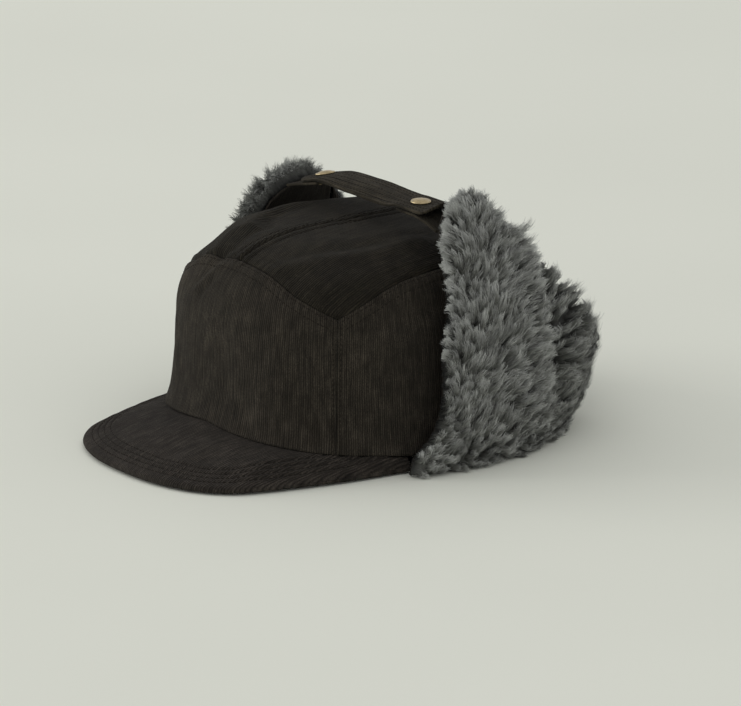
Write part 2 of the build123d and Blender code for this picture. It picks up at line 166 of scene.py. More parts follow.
def crown_normal(deg, s):
    """Outward normal: by the oval's parameters on the wall, by height on top."""
    deg, s = np.broadcast_arrays(np.asarray(deg, float), np.asarray(s, float))
    s1 = np.clip(s, 0.001, 0.965)
    a = crown_pt(deg + 0.2, s1) - crown_pt(deg - 0.2, s1)
    b = crown_pt(deg, s1 + 0.0008) - crown_pt(deg, s1 - 0.0008)
    n1 = unit(np.cross(a, b))
    p = crown_pt(deg, s)
    x, y = p[..., 0], p[..., 1]
    e = 0.6
    zx = (crown_z(x + e, y) - crown_z(x - e, y)) / (2 * e)
    zy = (crown_z(x, y + e) - crown_z(x, y - e)) / (2 * e)
    n2 = unit(np.stack([-zx, -zy, np.ones_like(zx)], -1))
    w = np.clip((s - 0.93) / 0.03, 0, 1)[..., None]
    return unit(n1 * (1 - w) + n2 * w)


def to_crown(p):
    """The crown's own place (deg, s) for points near it."""
    x, y, z = p[..., 0], p[..., 1], p[..., 2]
    deg = np.degrees(np.arctan2(x, -(y - Y0)))
    e = edge_z(deg)
    s_by_z = np.clip((z - e) / (CROWN_TOP - e), 0.0, 0.9999)
    s_by_r = np.clip((crown_z(x, y) - e) / (CROWN_TOP - e), 0.0, 0.99999)
    return deg, np.where(s_by_z > 0.84, s_by_r, s_by_z)


# ---------------------------------------------------------------------------
# Noise and distance helpers
# ---------------------------------------------------------------------------
_LAT = np.random.default_rng(7).random((24, 24, 24)) * 2 - 1


def noise3(p, size, seed=0):
    """Smooth noise from -1 to 1 whose bumps are about size mm across."""
    q = p / size + np.array([seed * 3.7 + 50, seed * 5.3 + 50, seed * 1.9 + 50])
    i = np.floor(q).astype(int)
    f = q - i
    f = f * f * (3 - 2 * f)
    out = 0
    for dx in (0, 1):
        for dy in (0, 1):
            for dz in (0, 1):
                w = (
                    (f[..., 0] if dx else 1 - f[..., 0])
                    * (f[..., 1] if dy else 1 - f[..., 1])
                    * (f[..., 2] if dz else 1 - f[..., 2])
                )
                out = out + w * _LAT[(i[..., 0] + dx) % 24, (i[..., 1] + dy) % 24, (i[..., 2] + dz) % 24]
    return out


def to_line(p, line):
    """Distance from points to a polyline, and how far along it the foot is."""
    shape = p.shape[:-1]
    q = p.reshape(-1, 3)
    line = np.asarray(line, float)
    best = np.full(len(q), 1e9)
    along = np.zeros(len(q))
    total = 0.0
    for a, b in zip(line[:-1], line[1:]):
        ab = b - a
        n = float(np.linalg.norm(ab))
        if n < 1e-9:
            continue
        t = np.clip(((q - a) @ ab) / (n * n), 0, 1)
        d = np.linalg.norm(q - (a + t[:, None] * ab), axis=1)
        hit = d < best
        best[hit] = d[hit]
        along[hit] = total + t[hit] * n
        total += n
    return best.reshape(shape), (along / max(total, 1e-9)).reshape(shape), total


def bell(d, w):
    return np.exp(-((d / w) ** 2))


# ---------------------------------------------------------------------------
# Meshes
# ---------------------------------------------------------------------------
def mesh_object(name, verts, faces, mat, body, uv=None, attrs=None, smooth=True, join=True):
    me = bpy.data.meshes.new(name)
    verts = np.ascontiguousarray(np.asarray(verts, np.float64) * MM)
    faces = np.asarray(faces, np.int32)
    n, k = faces.shape
    me.vertices.add(len(verts))
    me.vertices.foreach_set("co", verts.ravel())
    me.loops.add(n * k)
    me.loops.foreach_set("vertex_index", faces.ravel())
    me.polygons.add(n)
    me.polygons.foreach_set("loop_start", np.arange(0, n * k, k, dtype=np.int32))
    me.polygons.foreach_set("loop_total", np.full(n, k, np.int32))
    me.update(calc_edges=True)
    if uv is not None:
        layer = me.uv_layers.new(name="cloth")
        layer.data.foreach_set("uv", np.ascontiguousarray(np.asarray(uv, np.float64)[faces.ravel()]).ravel())
    for key, values in (attrs or {}).items():
        a = me.attributes.new(key, "FLOAT", "POINT")
        a.data.foreach_set("value", np.asarray(values, np.float32))
    me.polygons.foreach_set("use_smooth", np.full(n, smooth))
    me.validate()
    ob = bpy.data.objects.new(name, me)
    bpy.context.scene.collection.objects.link(ob)
    me.materials.append(mat)
    if body:
        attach(ob, body)
    return ob


def quads(rows, cols, base=0, wrap=False):
    i = np.arange(rows - 1)[:, None]
    j = np.arange(cols if wrap else cols - 1)[None, :]
    j2 = (j + 1) % cols
    a = base + i * cols + j
    b = base + i * cols + j2
    c = base + (i + 1) * cols + j2
    d = base + (i + 1) * cols + j
    return np.stack([a, b, c, d], -1).reshape(-1, 4)


def grid_normals(g):
    du = np.gradient(g, axis=1)
    dv = np.gradient(g, axis=0)
    return unit(np.cross(du, dv))


def closed(outer, inner, uv_o, uv_i=None, wrap=False):
    """Verts, faces and uv of a closed skin between two grids of one size."""
    r, c, _ = outer.shape
    n = r * c
    v = np.concatenate([outer.reshape(-1, 3), inner.reshape(-1, 3)])
    uv_i = uv_o if uv_i is None else uv_i
    uv = np.concatenate([uv_o.reshape(-1, 2), uv_i.reshape(-1, 2)])
    f = [quads(r, c, 0, wrap), quads(r, c, n, wrap)[:, ::-1]]

    def wall(a, turn):
        a = np.asarray(a)
        q = np.stack([a[:-1], a[1:], a[1:] + n, a[:-1] + n], -1)
        f.append(q[:, ::-1] if turn else q)

    row0 = np.arange(c)
    row1 = (r - 1) * c + np.arange(c)
    if wrap:
        row0, row1 = np.append(row0, 0), np.append(row1, (r - 1) * c)
    wall(row0, True)
    wall(row1, False)
    if not wrap:
        wall(np.arange(r) * c, False)
        wall(np.arange(r) * c + c - 1, True)
    return v, np.concatenate(f), uv


def rim(r, c, spacing_r, spacing_c, radius, wrap=False):
    """0 at the rim of a grid, 1 further in than radius, as a quarter round."""
    i = np.arange(r)[:, None] * np.ones((1, c))
    j = np.arange(c)[None, :] * np.ones((r, 1))
    d = np.minimum(i, r - 1 - i) * spacing_r
    if not wrap:
        d = np.minimum(d, np.minimum(j, c - 1 - j) * spacing_c)
    t = np.clip(d / radius, 0, 1)
    return np.sqrt(np.clip(1 - (1 - t) ** 2, 0, 1))


def tube_dashes(paths, normals, step=2.9, share=0.74, r=0.26, lift=0.1):
    """Short sewing-thread tubes laid along paths. Returns verts and faces."""
    verts, faces = [], []
    base = 0
    prof = np.array([0.0, 0.16, 0.5, 0.84, 1.0])
    rad = np.array([0.35, 0.9, 1.0, 0.9, 0.35])
    high = np.array([-0.28, 0.02, 0.14, 0.02, -0.28])
    for path, nor in zip(paths, normals):
        seg = np.linalg.norm(np.diff(path, axis=0), axis=1)
        cum = np.concatenate([[0], np.cumsum(seg)])
        n = int(cum[-1] / step)
        if n < 1:
            continue
        for k in range(n):
            a = (k + 0.5 * (1 - share)) * step
            d = a + prof * step * share
            pts = np.stack([np.interp(d, cum, path[:, i]) for i in range(3)], 1)
            nn = unit(np.stack([np.interp(d, cum, nor[:, i]) for i in range(3)], 1))
            t = unit(np.gradient(pts, axis=0))
            side = unit(np.cross(nn, t))
            pts = pts + nn * (lift + high[:, None])
            ring = []
            for q in range(5):
                ang = 2 * math.pi * q / 5
                ring.append(pts + (side * math.cos(ang) + nn * math.sin(ang) * 0.8) * (r * rad)[:, None])
            ring = np.stack(ring, 1)
            verts.append(ring.reshape(-1, 3))
            faces.append(quads(5, 5, base, True))
            base += 25
    if not verts:
        return np.zeros((0, 3)), np.zeros((0, 4), int)
    return np.concatenate(verts), np.concatenate(faces)


def stitch_piece(name, paths, normals, body, mat, **kw):
    v, f = tube_dashes(paths, normals, **kw)
    return mesh_object(name, v, f, mat, body)


# ---------------------------------------------------------------------------
# Materials
# ---------------------------------------------------------------------------
def srgb(r, g, b):
    out = []
    for c in (r, g, b):
        c /= 255
        out.append(c / 12.92 if c <= 0.04045 else ((c + 0.055) / 1.055) ** 2.4)
    return (*out, 1.0)


class Mat:
    """A small helper that wires a node tree."""

    def __init__(self, name):
        self.m = bpy.data.materials.new(name)
        self.m.use_nodes = True
        self.t = self.m.node_tree
        self.b = self.t.nodes["Principled BSDF"]

    def node(self, kind, **sockets):
        n = self.t.nodes.new(kind)
        for k, v in sockets.items():
            if k in n.inputs:
                n.inputs[k].default_value = v
            else:
                setattr(n, k, v)
        return n

    def link(self, a, b):
        self.t.links.new(a, b)

    def math(self, op, a, b=None, clamp=False):
        n = self.t.nodes.new("ShaderNodeMath")
        n.operation = op
        n.use_clamp = clamp
        for i, v in enumerate((a, b)):
            if v is None:
                continue
            if isinstance(v, (int, float)):
                n.inputs[i].default_value = v
            else:
                self.link(v, n.inputs[i])
        return n.outputs[0]

    def noise(self, scale, detail=2.0, rough=0.5, vector=None, stretch=None):
        n = self.node("ShaderNodeTexNoise")
        n.inputs["Scale"].default_value = scale
        n.inputs["Detail"].default_value = detail
        n.inputs["Roughness"].default_value = rough
        if vector is None:
            vector = self.node("ShaderNodeTexCoord").outputs["Object"]
        if stretch is not None:
            mp = self.node("ShaderNodeMapping")
            mp.inputs["Scale"].default_value = stretch
            self.link(vector, mp.inputs["Vector"])
            vector = mp.outputs[0]
        self.link(vector, n.inputs["Vector"])
        return n.outputs["Fac"]

    def ramp(self, fac, stops):
        n = self.node("ShaderNodeValToRGB")
        els = n.color_ramp.elements
        while len(els) < len(stops):
            els.new(0.5)
        for e, (p, c) in zip(els, stops):
            e.position = p
            e.color = c
        self.link(fac, n.inputs["Fac"])
        return n.outputs["Color"]

    def mix(self, fac, a, b, kind="MIX"):
        n = self.node("ShaderNodeMix")
        n.data_type = "RGBA"
        n.blend_type = kind
        for sock, v in ((n.inputs["Factor"], fac), (n.inputs["A"], a), (n.inputs["B"], b)):
            pass
        ins = [i for i in n.inputs if i.type == "RGBA"]
        fin = n.inputs[0]
        if isinstance(fac, (int, float)):
            fin.default_value = fac
        else:
            self.link(fac, fin)
        for sock, v in zip(ins, (a, b)):
            if isinstance(v, tuple):
                sock.default_value = v
            else:
                self.link(v, sock)
        return [o for o in n.outputs if o.type == "RGBA"][0]

    def bump(self, height, distance, strength=1.0, normal=None):
        n = self.node("ShaderNodeBump")
        n.inputs["Distance"].default_value = distance
        n.inputs["Strength"].default_value = strength
        self.link(height, n.inputs["Height"])
        if normal is not None:
            self.link(normal, n.inputs["Normal"])
        return n.outputs[0]

    def set(self, **sockets):
        for k, v in sockets.items():
            k = k.replace("_", " ")
            s = self.b.inputs[k]
            if isinstance(v, (int, float, tuple)):
                s.default_value = v
            else:
                self.link(v, s)
        return self.m


def scaled(c, k):
    return tuple(min(1.0, x * k) for x in c[:3]) + (1.0,)


def corduroy(name, col, pitch=1.28, depth=0.00042, rib_shade_and_wear_contrast=0.62):
    """Ribs across the cloth's u coordinate, in millimetres, with a soft nap; their colour is darker in the grooves and
    lighter on the ridges, painted shade and a painted highlight mixed with real wear on the ridge tips.
    """
    m = Mat(name)
    uv = m.node("ShaderNodeUVMap")
    uv.uv_map = "cloth"
    sep = m.node("ShaderNodeSeparateXYZ")
    m.link(uv.outputs[0], sep.inputs[0])
    wob = m.math("MULTIPLY", m.math("SUBTRACT", m.noise(70.0, 2.0), 0.5), 1.5)
    u = m.math("ADD", sep.outputs[0], wob)
    ribs = m.math("DIVIDE", u, pitch)
    fr = m.math("FRACT", ribs)
    wave = m.math("SINE", m.math("MULTIPLY", fr, math.pi))
    wale = m.math("POWER", wave, 0.8)

    def along(ku, kv, detail):
        comb = m.node("ShaderNodeCombineXYZ")
        m.link(m.math("MULTIPLY", u, ku), comb.inputs[0])
        m.link(m.math("MULTIPLY", sep.outputs[1], kv), comb.inputs[1])
        return m.noise(1.0, detail, 0.6, vector=comb.outputs[0])

    nap = along(1.6, 1.1, 3.0)
    streak = along(0.72, 0.055, 3.0)
    fine = m.noise(1700.0, 2.0, 0.6)
    broad = m.noise(24.0, 3.0, 0.55)
    mid = m.noise(120.0, 3.0, 0.6)
    height = m.math("ADD", wale, m.math("MULTIPLY", nap, 0.6))
    normal = m.bump(height, depth, 1.0)
    # rib colour: darker in the grooves and lighter on the ridges, partly real wear on the tips, partly painted shade in
    # the grooves and a painted highlight on the ridges
    tone = m.math("ADD", m.math("MULTIPLY", wale, rib_shade_and_wear_contrast), 1.0 - rib_shade_and_wear_contrast * 0.66)
    for n, k in ((nap, 1.5), (streak, 2.1), (broad, 0.9), (mid, 1.1), (fine, 1.3)):
        tone = m.math("MULTIPLY", tone, m.math("ADD", m.math("MULTIPLY", n, k), 1.0 - k / 2))
    lint = m.math("POWER", m.noise(620.0, 2.0, 0.7), 9.0)
    tone = m.math("ADD", tone, m.math("MULTIPLY", lint, 4.0))
    val = m.math("MULTIPLY", tone, 0.5)
    colour = m.ramp(val, [(0.0, scaled(col, 0.06)), (0.5, col), (1.0, scaled(col, 2.6))])
    rough = m.math("ADD", m.math("MULTIPLY", nap, 0.16), 0.80)
    return m.set(
        Base_Color=colour,
        Roughness=rough,
        Normal=normal,
        Specular_IOR_Level=0.10,
        Sheen_Weight=0.055,
        Sheen_Roughness=0.5,
        Sheen_Tint=(0.62, 0.60, 0.56, 1.0),
    )


def woven(name, col, pitch=0.55, depth=0.00012, twill=False, sheen=0.15, rough=0.8):
    """Plain or twill weave on the cloth's own coordinates, in millimetres."""
    m = Mat(name)
    uv = m.node("ShaderNodeUVMap")
    uv.uv_map = "cloth"
    sep = m.node("ShaderNodeSeparateXYZ")
    m.link(uv.outputs[0], sep.inputs[0])
    k = 2 * math.pi / pitch
    if twill:
        a = m.math("SINE", m.math("MULTIPLY", m.math("ADD", sep.outputs[0], sep.outputs[1]), k * 0.5))
        b = m.math("SINE", m.math("MULTIPLY", sep.outputs[0], k * 1.7))
        w = m.math("ADD", m.math("MULTIPLY", a, 0.35), m.math("ADD", m.math("MULTIPLY", b, 0.12), 0.5))
    else:
        a = m.math("SINE", m.math("MULTIPLY", sep.outputs[0], k))
        b = m.math("SINE", m.math("MULTIPLY", sep.outputs[1], k))
        w = m.math("ADD", m.math("MULTIPLY", m.math("MULTIPLY", a, b), 0.5), 0.5)
    broad = m.noise(30.0, 3.0, 0.55)
    fine = m.noise(900.0, 2.0, 0.6)
    h = m.math("ADD", w, m.math("MULTIPLY", fine, 0.5))
    tone = m.math("ADD", m.math("MULTIPLY", w, 0.35), m.math("ADD", m.math("MULTIPLY", broad, 0.35), 0.15))
    tone = m.math("ADD", tone, m.math("MULTIPLY", fine, 0.25))
    colour = m.ramp(tone, [(0.1, scaled(col, 0.45)), (0.55, col), (1.0, scaled(col, 1.6))])
    return m.set(
        Base_Color=colour,
        Roughness=rough,
        Normal=m.bump(h, depth, 0.9),
        Specular_IOR_Level=0.25,
        Sheen_Weight=sheen,
    )


def thread(name, col):
    m = Mat(name)
    t = m.noise(2600.0, 2.0, 0.6)
    c = m.ramp(t, [(0.25, scaled(col, 0.6)), (0.75, scaled(col, 1.35))])
    return m.set(Base_Color=c, Roughness=0.9, Normal=m.bump(t, 0.00008, 0.8), Specular_IOR_Level=0.08, Sheen_Weight=0.02)


def pile_material(name, root, mid, tip):
    """Wool pile: dark at the root, grey at the tip, each lock its own shade."""
    m = Mat(name)
    a = m.node("ShaderNodeAttribute")
    a.attribute_name = "tip"
    b = m.node("ShaderNodeAttribute")
    b.attribute_name = "tone"
    n = m.noise(160.0, 3.0, 0.6)
    f = m.math("ADD", a.outputs["Fac"], m.math("MULTIPLY", m.math("SUBTRACT", n, 0.5), 0.5), clamp=True)
    colour = m.ramp(f, [(0.0, root), (0.55, mid), (1.0, tip)])
    tone = m.math("ADD", m.math("MULTIPLY", b.outputs["Fac"], 0.72), 0.64)
    dark = m.mix(1.0, colour, colour, "MIX")
    comb = m.node("ShaderNodeCombineColor")
    for i in range(3):
        m.link(tone, comb.inputs[i])
    colour = m.mix(1.0, dark, comb.outputs[0], "MULTIPLY")
    return m.set(
        Base_Color=colour,
        Roughness=0.72,
        Specular_IOR_Level=0.28,
        Sheen_Weight=0.12,
        Sheen_Roughness=0.4,
        Sheen_Tint=(0.8, 0.8, 0.78, 1.0),
    )


def brass(name, col, rough):
    m = Mat(name)
    broad = m.noise(420.0, 3.0, 0.6)
    fine = m.noise(2400.0, 2.0, 0.6)
    c = m.ramp(broad, [(0.3, scaled(col, 0.55)), (0.6, col), (0.9, scaled(col, 1.15))])
    r = m.math("ADD", m.math("MULTIPLY", broad, 0.24), rough - 0.12)
    return m.set(Base_Color=c, Metallic=1.0, Roughness=r, Normal=m.bump(fine, 0.00003, 0.5))


CORD = srgb(45, 41, 35)
CORDUROY = corduroy("corduroy_crown", CORD)
# painted shade: the crown's top panels get a darker copy of the corduroy, as the top takes less light than the front
CORDUROY_TOP_PAINTED_SHADE = corduroy("corduroy_crown_top", srgb(33, 30, 24))
CORDUROY_BRIM = corduroy("corduroy_brim", srgb(45, 41, 37))
CORDUROY_FLAP = corduroy("corduroy_flap", srgb(42, 38, 33))
CORDUROY_STRAP = corduroy("corduroy_strap", srgb(45, 41, 33), rib_shade_and_wear_contrast=0.5)
BINDING = woven("binding_tape", srgb(34, 31, 27), 0.6, twill=True, sheen=0.05)
LINING = woven("lining_satin", srgb(46, 44, 41), 0.42, 0.00006, twill=True, sheen=0.05, rough=0.5)
SWEAT = woven("sweatband_twill", srgb(38, 36, 33), 0.8, 0.00014, twill=True)
LABEL = woven("label_weave", srgb(118, 112, 98), 0.5, 0.00008)
THREAD = thread("thread_dark", srgb(36, 32, 27))
THREAD_INNER = thread("thread_inner", srgb(84, 78, 68))
PILE = pile_material("wool_pile", srgb(13, 13, 12), srgb(92, 93, 89), srgb(182, 184, 180))
BRASS = brass("snap_brass", srgb(196, 178, 140), 0.34)
BOARD = woven("brim_board_fibre", srgb(92, 84, 70), 1.4, 0.00006)

# ---------------------------------------------------------------------------
# Crown
# ---------------------------------------------------------------------------
_d = np.linspace(-180, 180, 361)
SEAM_LINE = crown_pt(_d, top_seam(_d))
SIDE_SEAMS = [crown_pt(sg * V_TIP, np.linspace(0, float(top_seam(V_TIP)), 30)) for sg in (1, -1)]
BACK_SEAM = crown_pt(180.0, np.linspace(0, float(top_seam(180)), 30))
_f = np.linspace(-1, 1, 61)


def sagittal(x):
    """A line over the top of the crown at one x, from front to back."""
    y0 = crown_pt(0.0, float(top_seam(0)))[1]
    y1 = crown_pt(180.0, float(top_seam(180)))[1]
    y = y0 + (y1 - y0) * (0.5 + 0.5 * np.sin(_f * math.pi / 2))
    xx = np.full_like(y, x)
    return np.stack([xx, y, crown_z(xx, y)], -1)


CENTRE_SEAM = sagittal(0.0)

# Soft ridges, creases and dents: polyline on the crown, height, half width.
# Points are (angle, share of the profile).
FEATURES = [
    ([(-27.9, 0.70), (-25.0, 0.80), (-21.5, 0.887), (-31.8, 0.973), (-59.1, 0.984), (-110, 0.985)], 2.3, 5.2),
    ([(-17.0, 0.72), (-13.0, 0.84), (-12.5, 0.93), (-22, 0.985), (-80, 0.993)], -1.7, 4.2),
    ([(-17.0, 0.66), (-10.6, 0.798), (-6, 0.85)], 1.1, 2.6),
    ([(-12.0, 0.66), (-6.6, 0.78)], -0.8, 2.4),
    ([(12, 0.845), (17.4, 0.868), (33.7, 0.950), (52.2, 0.959), (89.7, 0.973), (110, 0.975)], 1.5, 6.5),
    ([(20, 0.93), (40, 0.975), (80, 0.985)], -1.2, 6.0),
    ([(66, 0.66), (74, 0.70), (84, 0.72), (94, 0.71)], -2.0, 8.0),
    ([(58, 0.60), (66, 0.56), (78, 0.57)], 0.8, 7.0),
    ([(4, 0.60), (7, 0.35), (10, 0.12)], -0.7, 9.0),
    ([(-30, 0.55), (-26, 0.30), (-22, 0.10)], 0.9, 8.0),
    ([(26, 0.50), (29, 0.28), (30, 0.08)], 0.7, 9.0),
    ([(15, 0.30), (18, 0.12), (19, 0.0)], -0.7, 7.0),
    ([(38, 0.42), (42, 0.22), (43, 0.05)], -0.6, 8.0),
    ([(56, 0.35), (60, 0.18), (62, 0.03)], 0.6, 8.0),
    ([(-60, 0.6), (-66, 0.3), (-70, 0.1)], -0.8, 10.0),
    ([(120, 0.6), (126, 0.4), (130, 0.2)], -0.9, 11.0),
    ([(150, 0.7), (156, 0.5), (160, 0.3)], 0.8, 11.0),
    ([(-130, 0.65), (-140, 0.4), (-144, 0.2)], -0.9, 12.0),
    ([(170, 0.93), (120, 0.975), (90, 0.99)], -0.9, 6.0),
    ([(-160, 0.95), (-130, 0.98)], 0.9, 6.0),
    ([(-75, 0.62), (-50, 0.64), (-25, 0.62)], 1.7, 17.0),
    ([(-62, 0.84), (-38, 0.86), (-20, 0.90)], -2.3, 13.0),
]
FEATURE_LINES = []
for pts, amp, half in FEATURES:
    pts = np.array(pts, float)
    fine = []
    for a, b in zip(pts[:-1], pts[1:]):
        for k in np.linspace(0, 1, 8, endpoint=False):
            fine.append(a + (b - a) * k)
    fine.append(pts[-1])
    fine = np.array(fine)
    FEATURE_LINES.append((crown_pt(fine[:, 0], fine[:, 1]), amp, half))


def crown_dent(p):
    """How far the cloth stands out from the drawn crown, in mm."""
    out = 0.9 * noise3(p, 34.0, 1) + 0.42 * noise3(p, 15.0, 2) + 0.13 * noise3(p, 6.0, 3)
    out = out - 0.35
    for line, amp, half in FEATURE_LINES:
        d, t, _ = to_line(p, line)
        end = np.clip(np.minimum(t, 1 - t) / 0.18, 0, 1)
        out = out + amp * bell(d, half) * (0.25 + 0.75 * end)
    ds, ts, n = to_line(p, SEAM_LINE)
    pucker = 0.12 * np.sin(ts * n * 2 * math.pi / 5.3 + 2.2 * np.sin(ts * 91))
    out = out - 0.55 * bell(ds, 0.8) + (0.26 + pucker) * bell(ds - 3.6, 2.0) - 0.30 * bell(ds - 6.9, 0.8) - 0.22 * bell(ds - 2.0, 0.6)
    for line in SIDE_SEAMS + [BACK_SEAM]:
        d, t, n = to_line(p, line)
        pucker = 0.10 * np.sin(t * n * 2 * math.pi / 6.1 + 1.7 * np.sin(t * 40))
        out = out - 0.6 * bell(d, 0.8) + (0.22 + pucker) * bell(d - 3.2, 1.8) - 0.2 * bell(d - 2.1, 0.6)
    d, t, n = to_line(p, CENTRE_SEAM)
    out = out - 0.85 * bell(d, 0.85) + 0.55 * bell(d - 3.6, 1.9) - 0.35 * bell(d - 6.5, 0.8)
    return out


EDGE_LEN = table(_d, np.concatenate([[0], np.cumsum(np.linalg.norm(np.diff(crown_pt(_d, 0.35), axis=0), axis=1))]))


def crown_surface(deg, s):
    p = crown_pt(deg, s)
    n = crown_normal(deg, s)
    return p + n * crown_dent(p)[..., None], n


def lower_cloth(name, d0, d1, node, nd, ns=92, lean=0.0):
    k = np.linspace(0, 1, ns)[:, None]
    d = np.linspace(d0, d1, nd)[None, :] * np.ones_like(k)
    # rows crowd towards the seam at the top
    s = (top_seam(d) - 0.0012) * (1 - (1 - k) ** 1.15)
    p, n = crown_surface(d, s)
    inner = p - n * CLOTH
    z = p[..., 2]
    u = EDGE_LEN(d) + lean * z
    uv = np.stack([u, z], -1)
    v, f, uvs = closed(p, inner, uv)
    ob = mesh_object(name, v, f, CORDUROY, "crown", uv=uvs)
    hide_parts(node)
    return ob


lower_cloth("crown_front_cloth", -V_TIP + 0.05, V_TIP - 0.05, "crown_front_panel", 190, lean=0.02)
lower_cloth("crown_left_side_cloth", V_TIP + 0.05, 179.95, "crown_left_side_panel", 230)
lower_cloth("crown_right_side_cloth", -179.95, -V_TIP - 0.05, "crown_right_side_panel", 230)


def top_cloth(name, side, node):
    dense = np.concatenate([np.linspace(0, 40, 70), np.linspace(40.5, 56, 52), np.linspace(56.6, 180, 150)])
    deg = dense[None, :]
    s0 = top_seam(deg) + 0.0016
    f0 = (1 - s0**CROWN_N) ** (1 / CROWN_N)
    k = np.linspace(0, 1, 84)[:, None]
    f = f0 * (1 - k) + 0.0005
    s = np.clip(1 - f**CROWN_N, 0, 1) ** (1 / CROWN_N)
    deg = deg * np.ones_like(s)
    p, n = crown_surface(deg * side, s)
    # leave a hair's room between the two halves at the middle seam
    gap = np.where(np.abs(p[..., 0]) < 0.12, side * 0.06 - p[..., 0], 0.0)
    p = p + np.stack([gap, gap * 0, gap * 0], -1)
    inner = p - n * CLOTH
    u = side * p[..., 0] + 0.17 * p[..., 1] * side - 0.45 * p[..., 2]
    uv = np.stack([u, p[..., 1]], -1)
    if side < 0:
        p, inner, uv = p[:, ::-1], inner[:, ::-1], uv[:, ::-1]
    v, fc, uvs = closed(p, inner, uv)
    # the top panels take the darker copy of the corduroy, which is painted shade
    ob = mesh_object(name, v, fc, CORDUROY_TOP_PAINTED_SHADE, "crown", uv=uvs)
    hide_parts(node)
    return ob


top_cloth("crown_top_left_cloth", 1, "crown_top_left_panel")
top_cloth("crown_top_right_cloth", -1, "crown_top_right_panel")


def beside(line, d):
    """A line d mm to one side of a seam on the crown, with its normals."""
    line = np.asarray(line, float)
    deg, s = to_crown(line)
    n = crown_normal(deg, s)
    t = unit(np.gradient(line, axis=0))
    q = line + np.cross(n, t) * d - n * (d * d / 160.0)
    deg, s = to_crown(q)
    p, n = crown_surface(deg, s)
    return p, n


stitch_p, stitch_n = [], []
for a, b in ((-V_TIP, V_TIP), (V_TIP, 180), (-180, -V_TIP)):
    dd = np.linspace(a + 0.7, b - 0.7, 160)
    line = crown_pt(dd, top_seam(dd))
    for off in (2.1, 6.8):
        if a == -V_TIP:
            p, n = beside(line, -off)
        else:
            p, n = beside(line, -off)
        keep = np.ones(len(p), bool)
        stitch_p.append(p[keep])
        stitch_n.append(n[keep])
for line in SIDE_SEAMS:
    for off in (2.1, -2.1):
        p, n = beside(line[:-1], off)
        stitch_p.append(p)
        stitch_n.append(n)
for off in (2.1, -2.1):
    p, n = beside(BACK_SEAM[:-1], off)
    stitch_p.append(p)
    stitch_n.append(n)
for off in (2.2, 6.5, -2.2, -6.5):
    p, n = beside(CENTRE_SEAM, off)
    stitch_p.append(p[1:-1])
    stitch_n.append(n[1:-1])
stitch_piece("crown_topstitch", stitch_p, stitch_n, "crown", THREAD, r=0.24, lift=0.06)

# ---------------------------------------------------------------------------
# Brim
# ---------------------------------------------------------------------------
BRIM_MID = 2.1         # height of the seam round the brim's edge
ROWS = (5.2, 8.6, 12.0, 15.6)


def brim_r(deg, v):
    r0 = base_r(deg) - 1.8
    return r0 + (brim_outline(deg) - r0) * v


def brim_top(deg, v):
    a = edge_z(deg) - 0.5
    w = np.minimum(1.0, (brim_outline(deg) - base_r(deg)) / 58.0)
    return a + (BRIM_EDGE_TOP - a) * v + 2.6 * w * np.sin(math.pi * v)


def brim_rows(p_from_edge):
    """Depth of the sewn rows, from the distance to the brim's edge."""
    out = 0
    for r in ROWS:
        out = out - 0.55 * bell(p_from_edge - r, 0.6) + 0.22 * bell(p_from_edge - r - 1.7, 1.0)
    return out


BRIM_EDGE_LINE = at(np.linspace(-BRIM_END, BRIM_END, 241), brim_outline(np.linspace(-BRIM_END, BRIM_END, 241)), 0.0)


def from_brim_edge(p):
    q = p.copy()
    q[..., 2] = 0
    d, t, n = to_line(q, BRIM_EDGE_LINE)
    return d, t * n


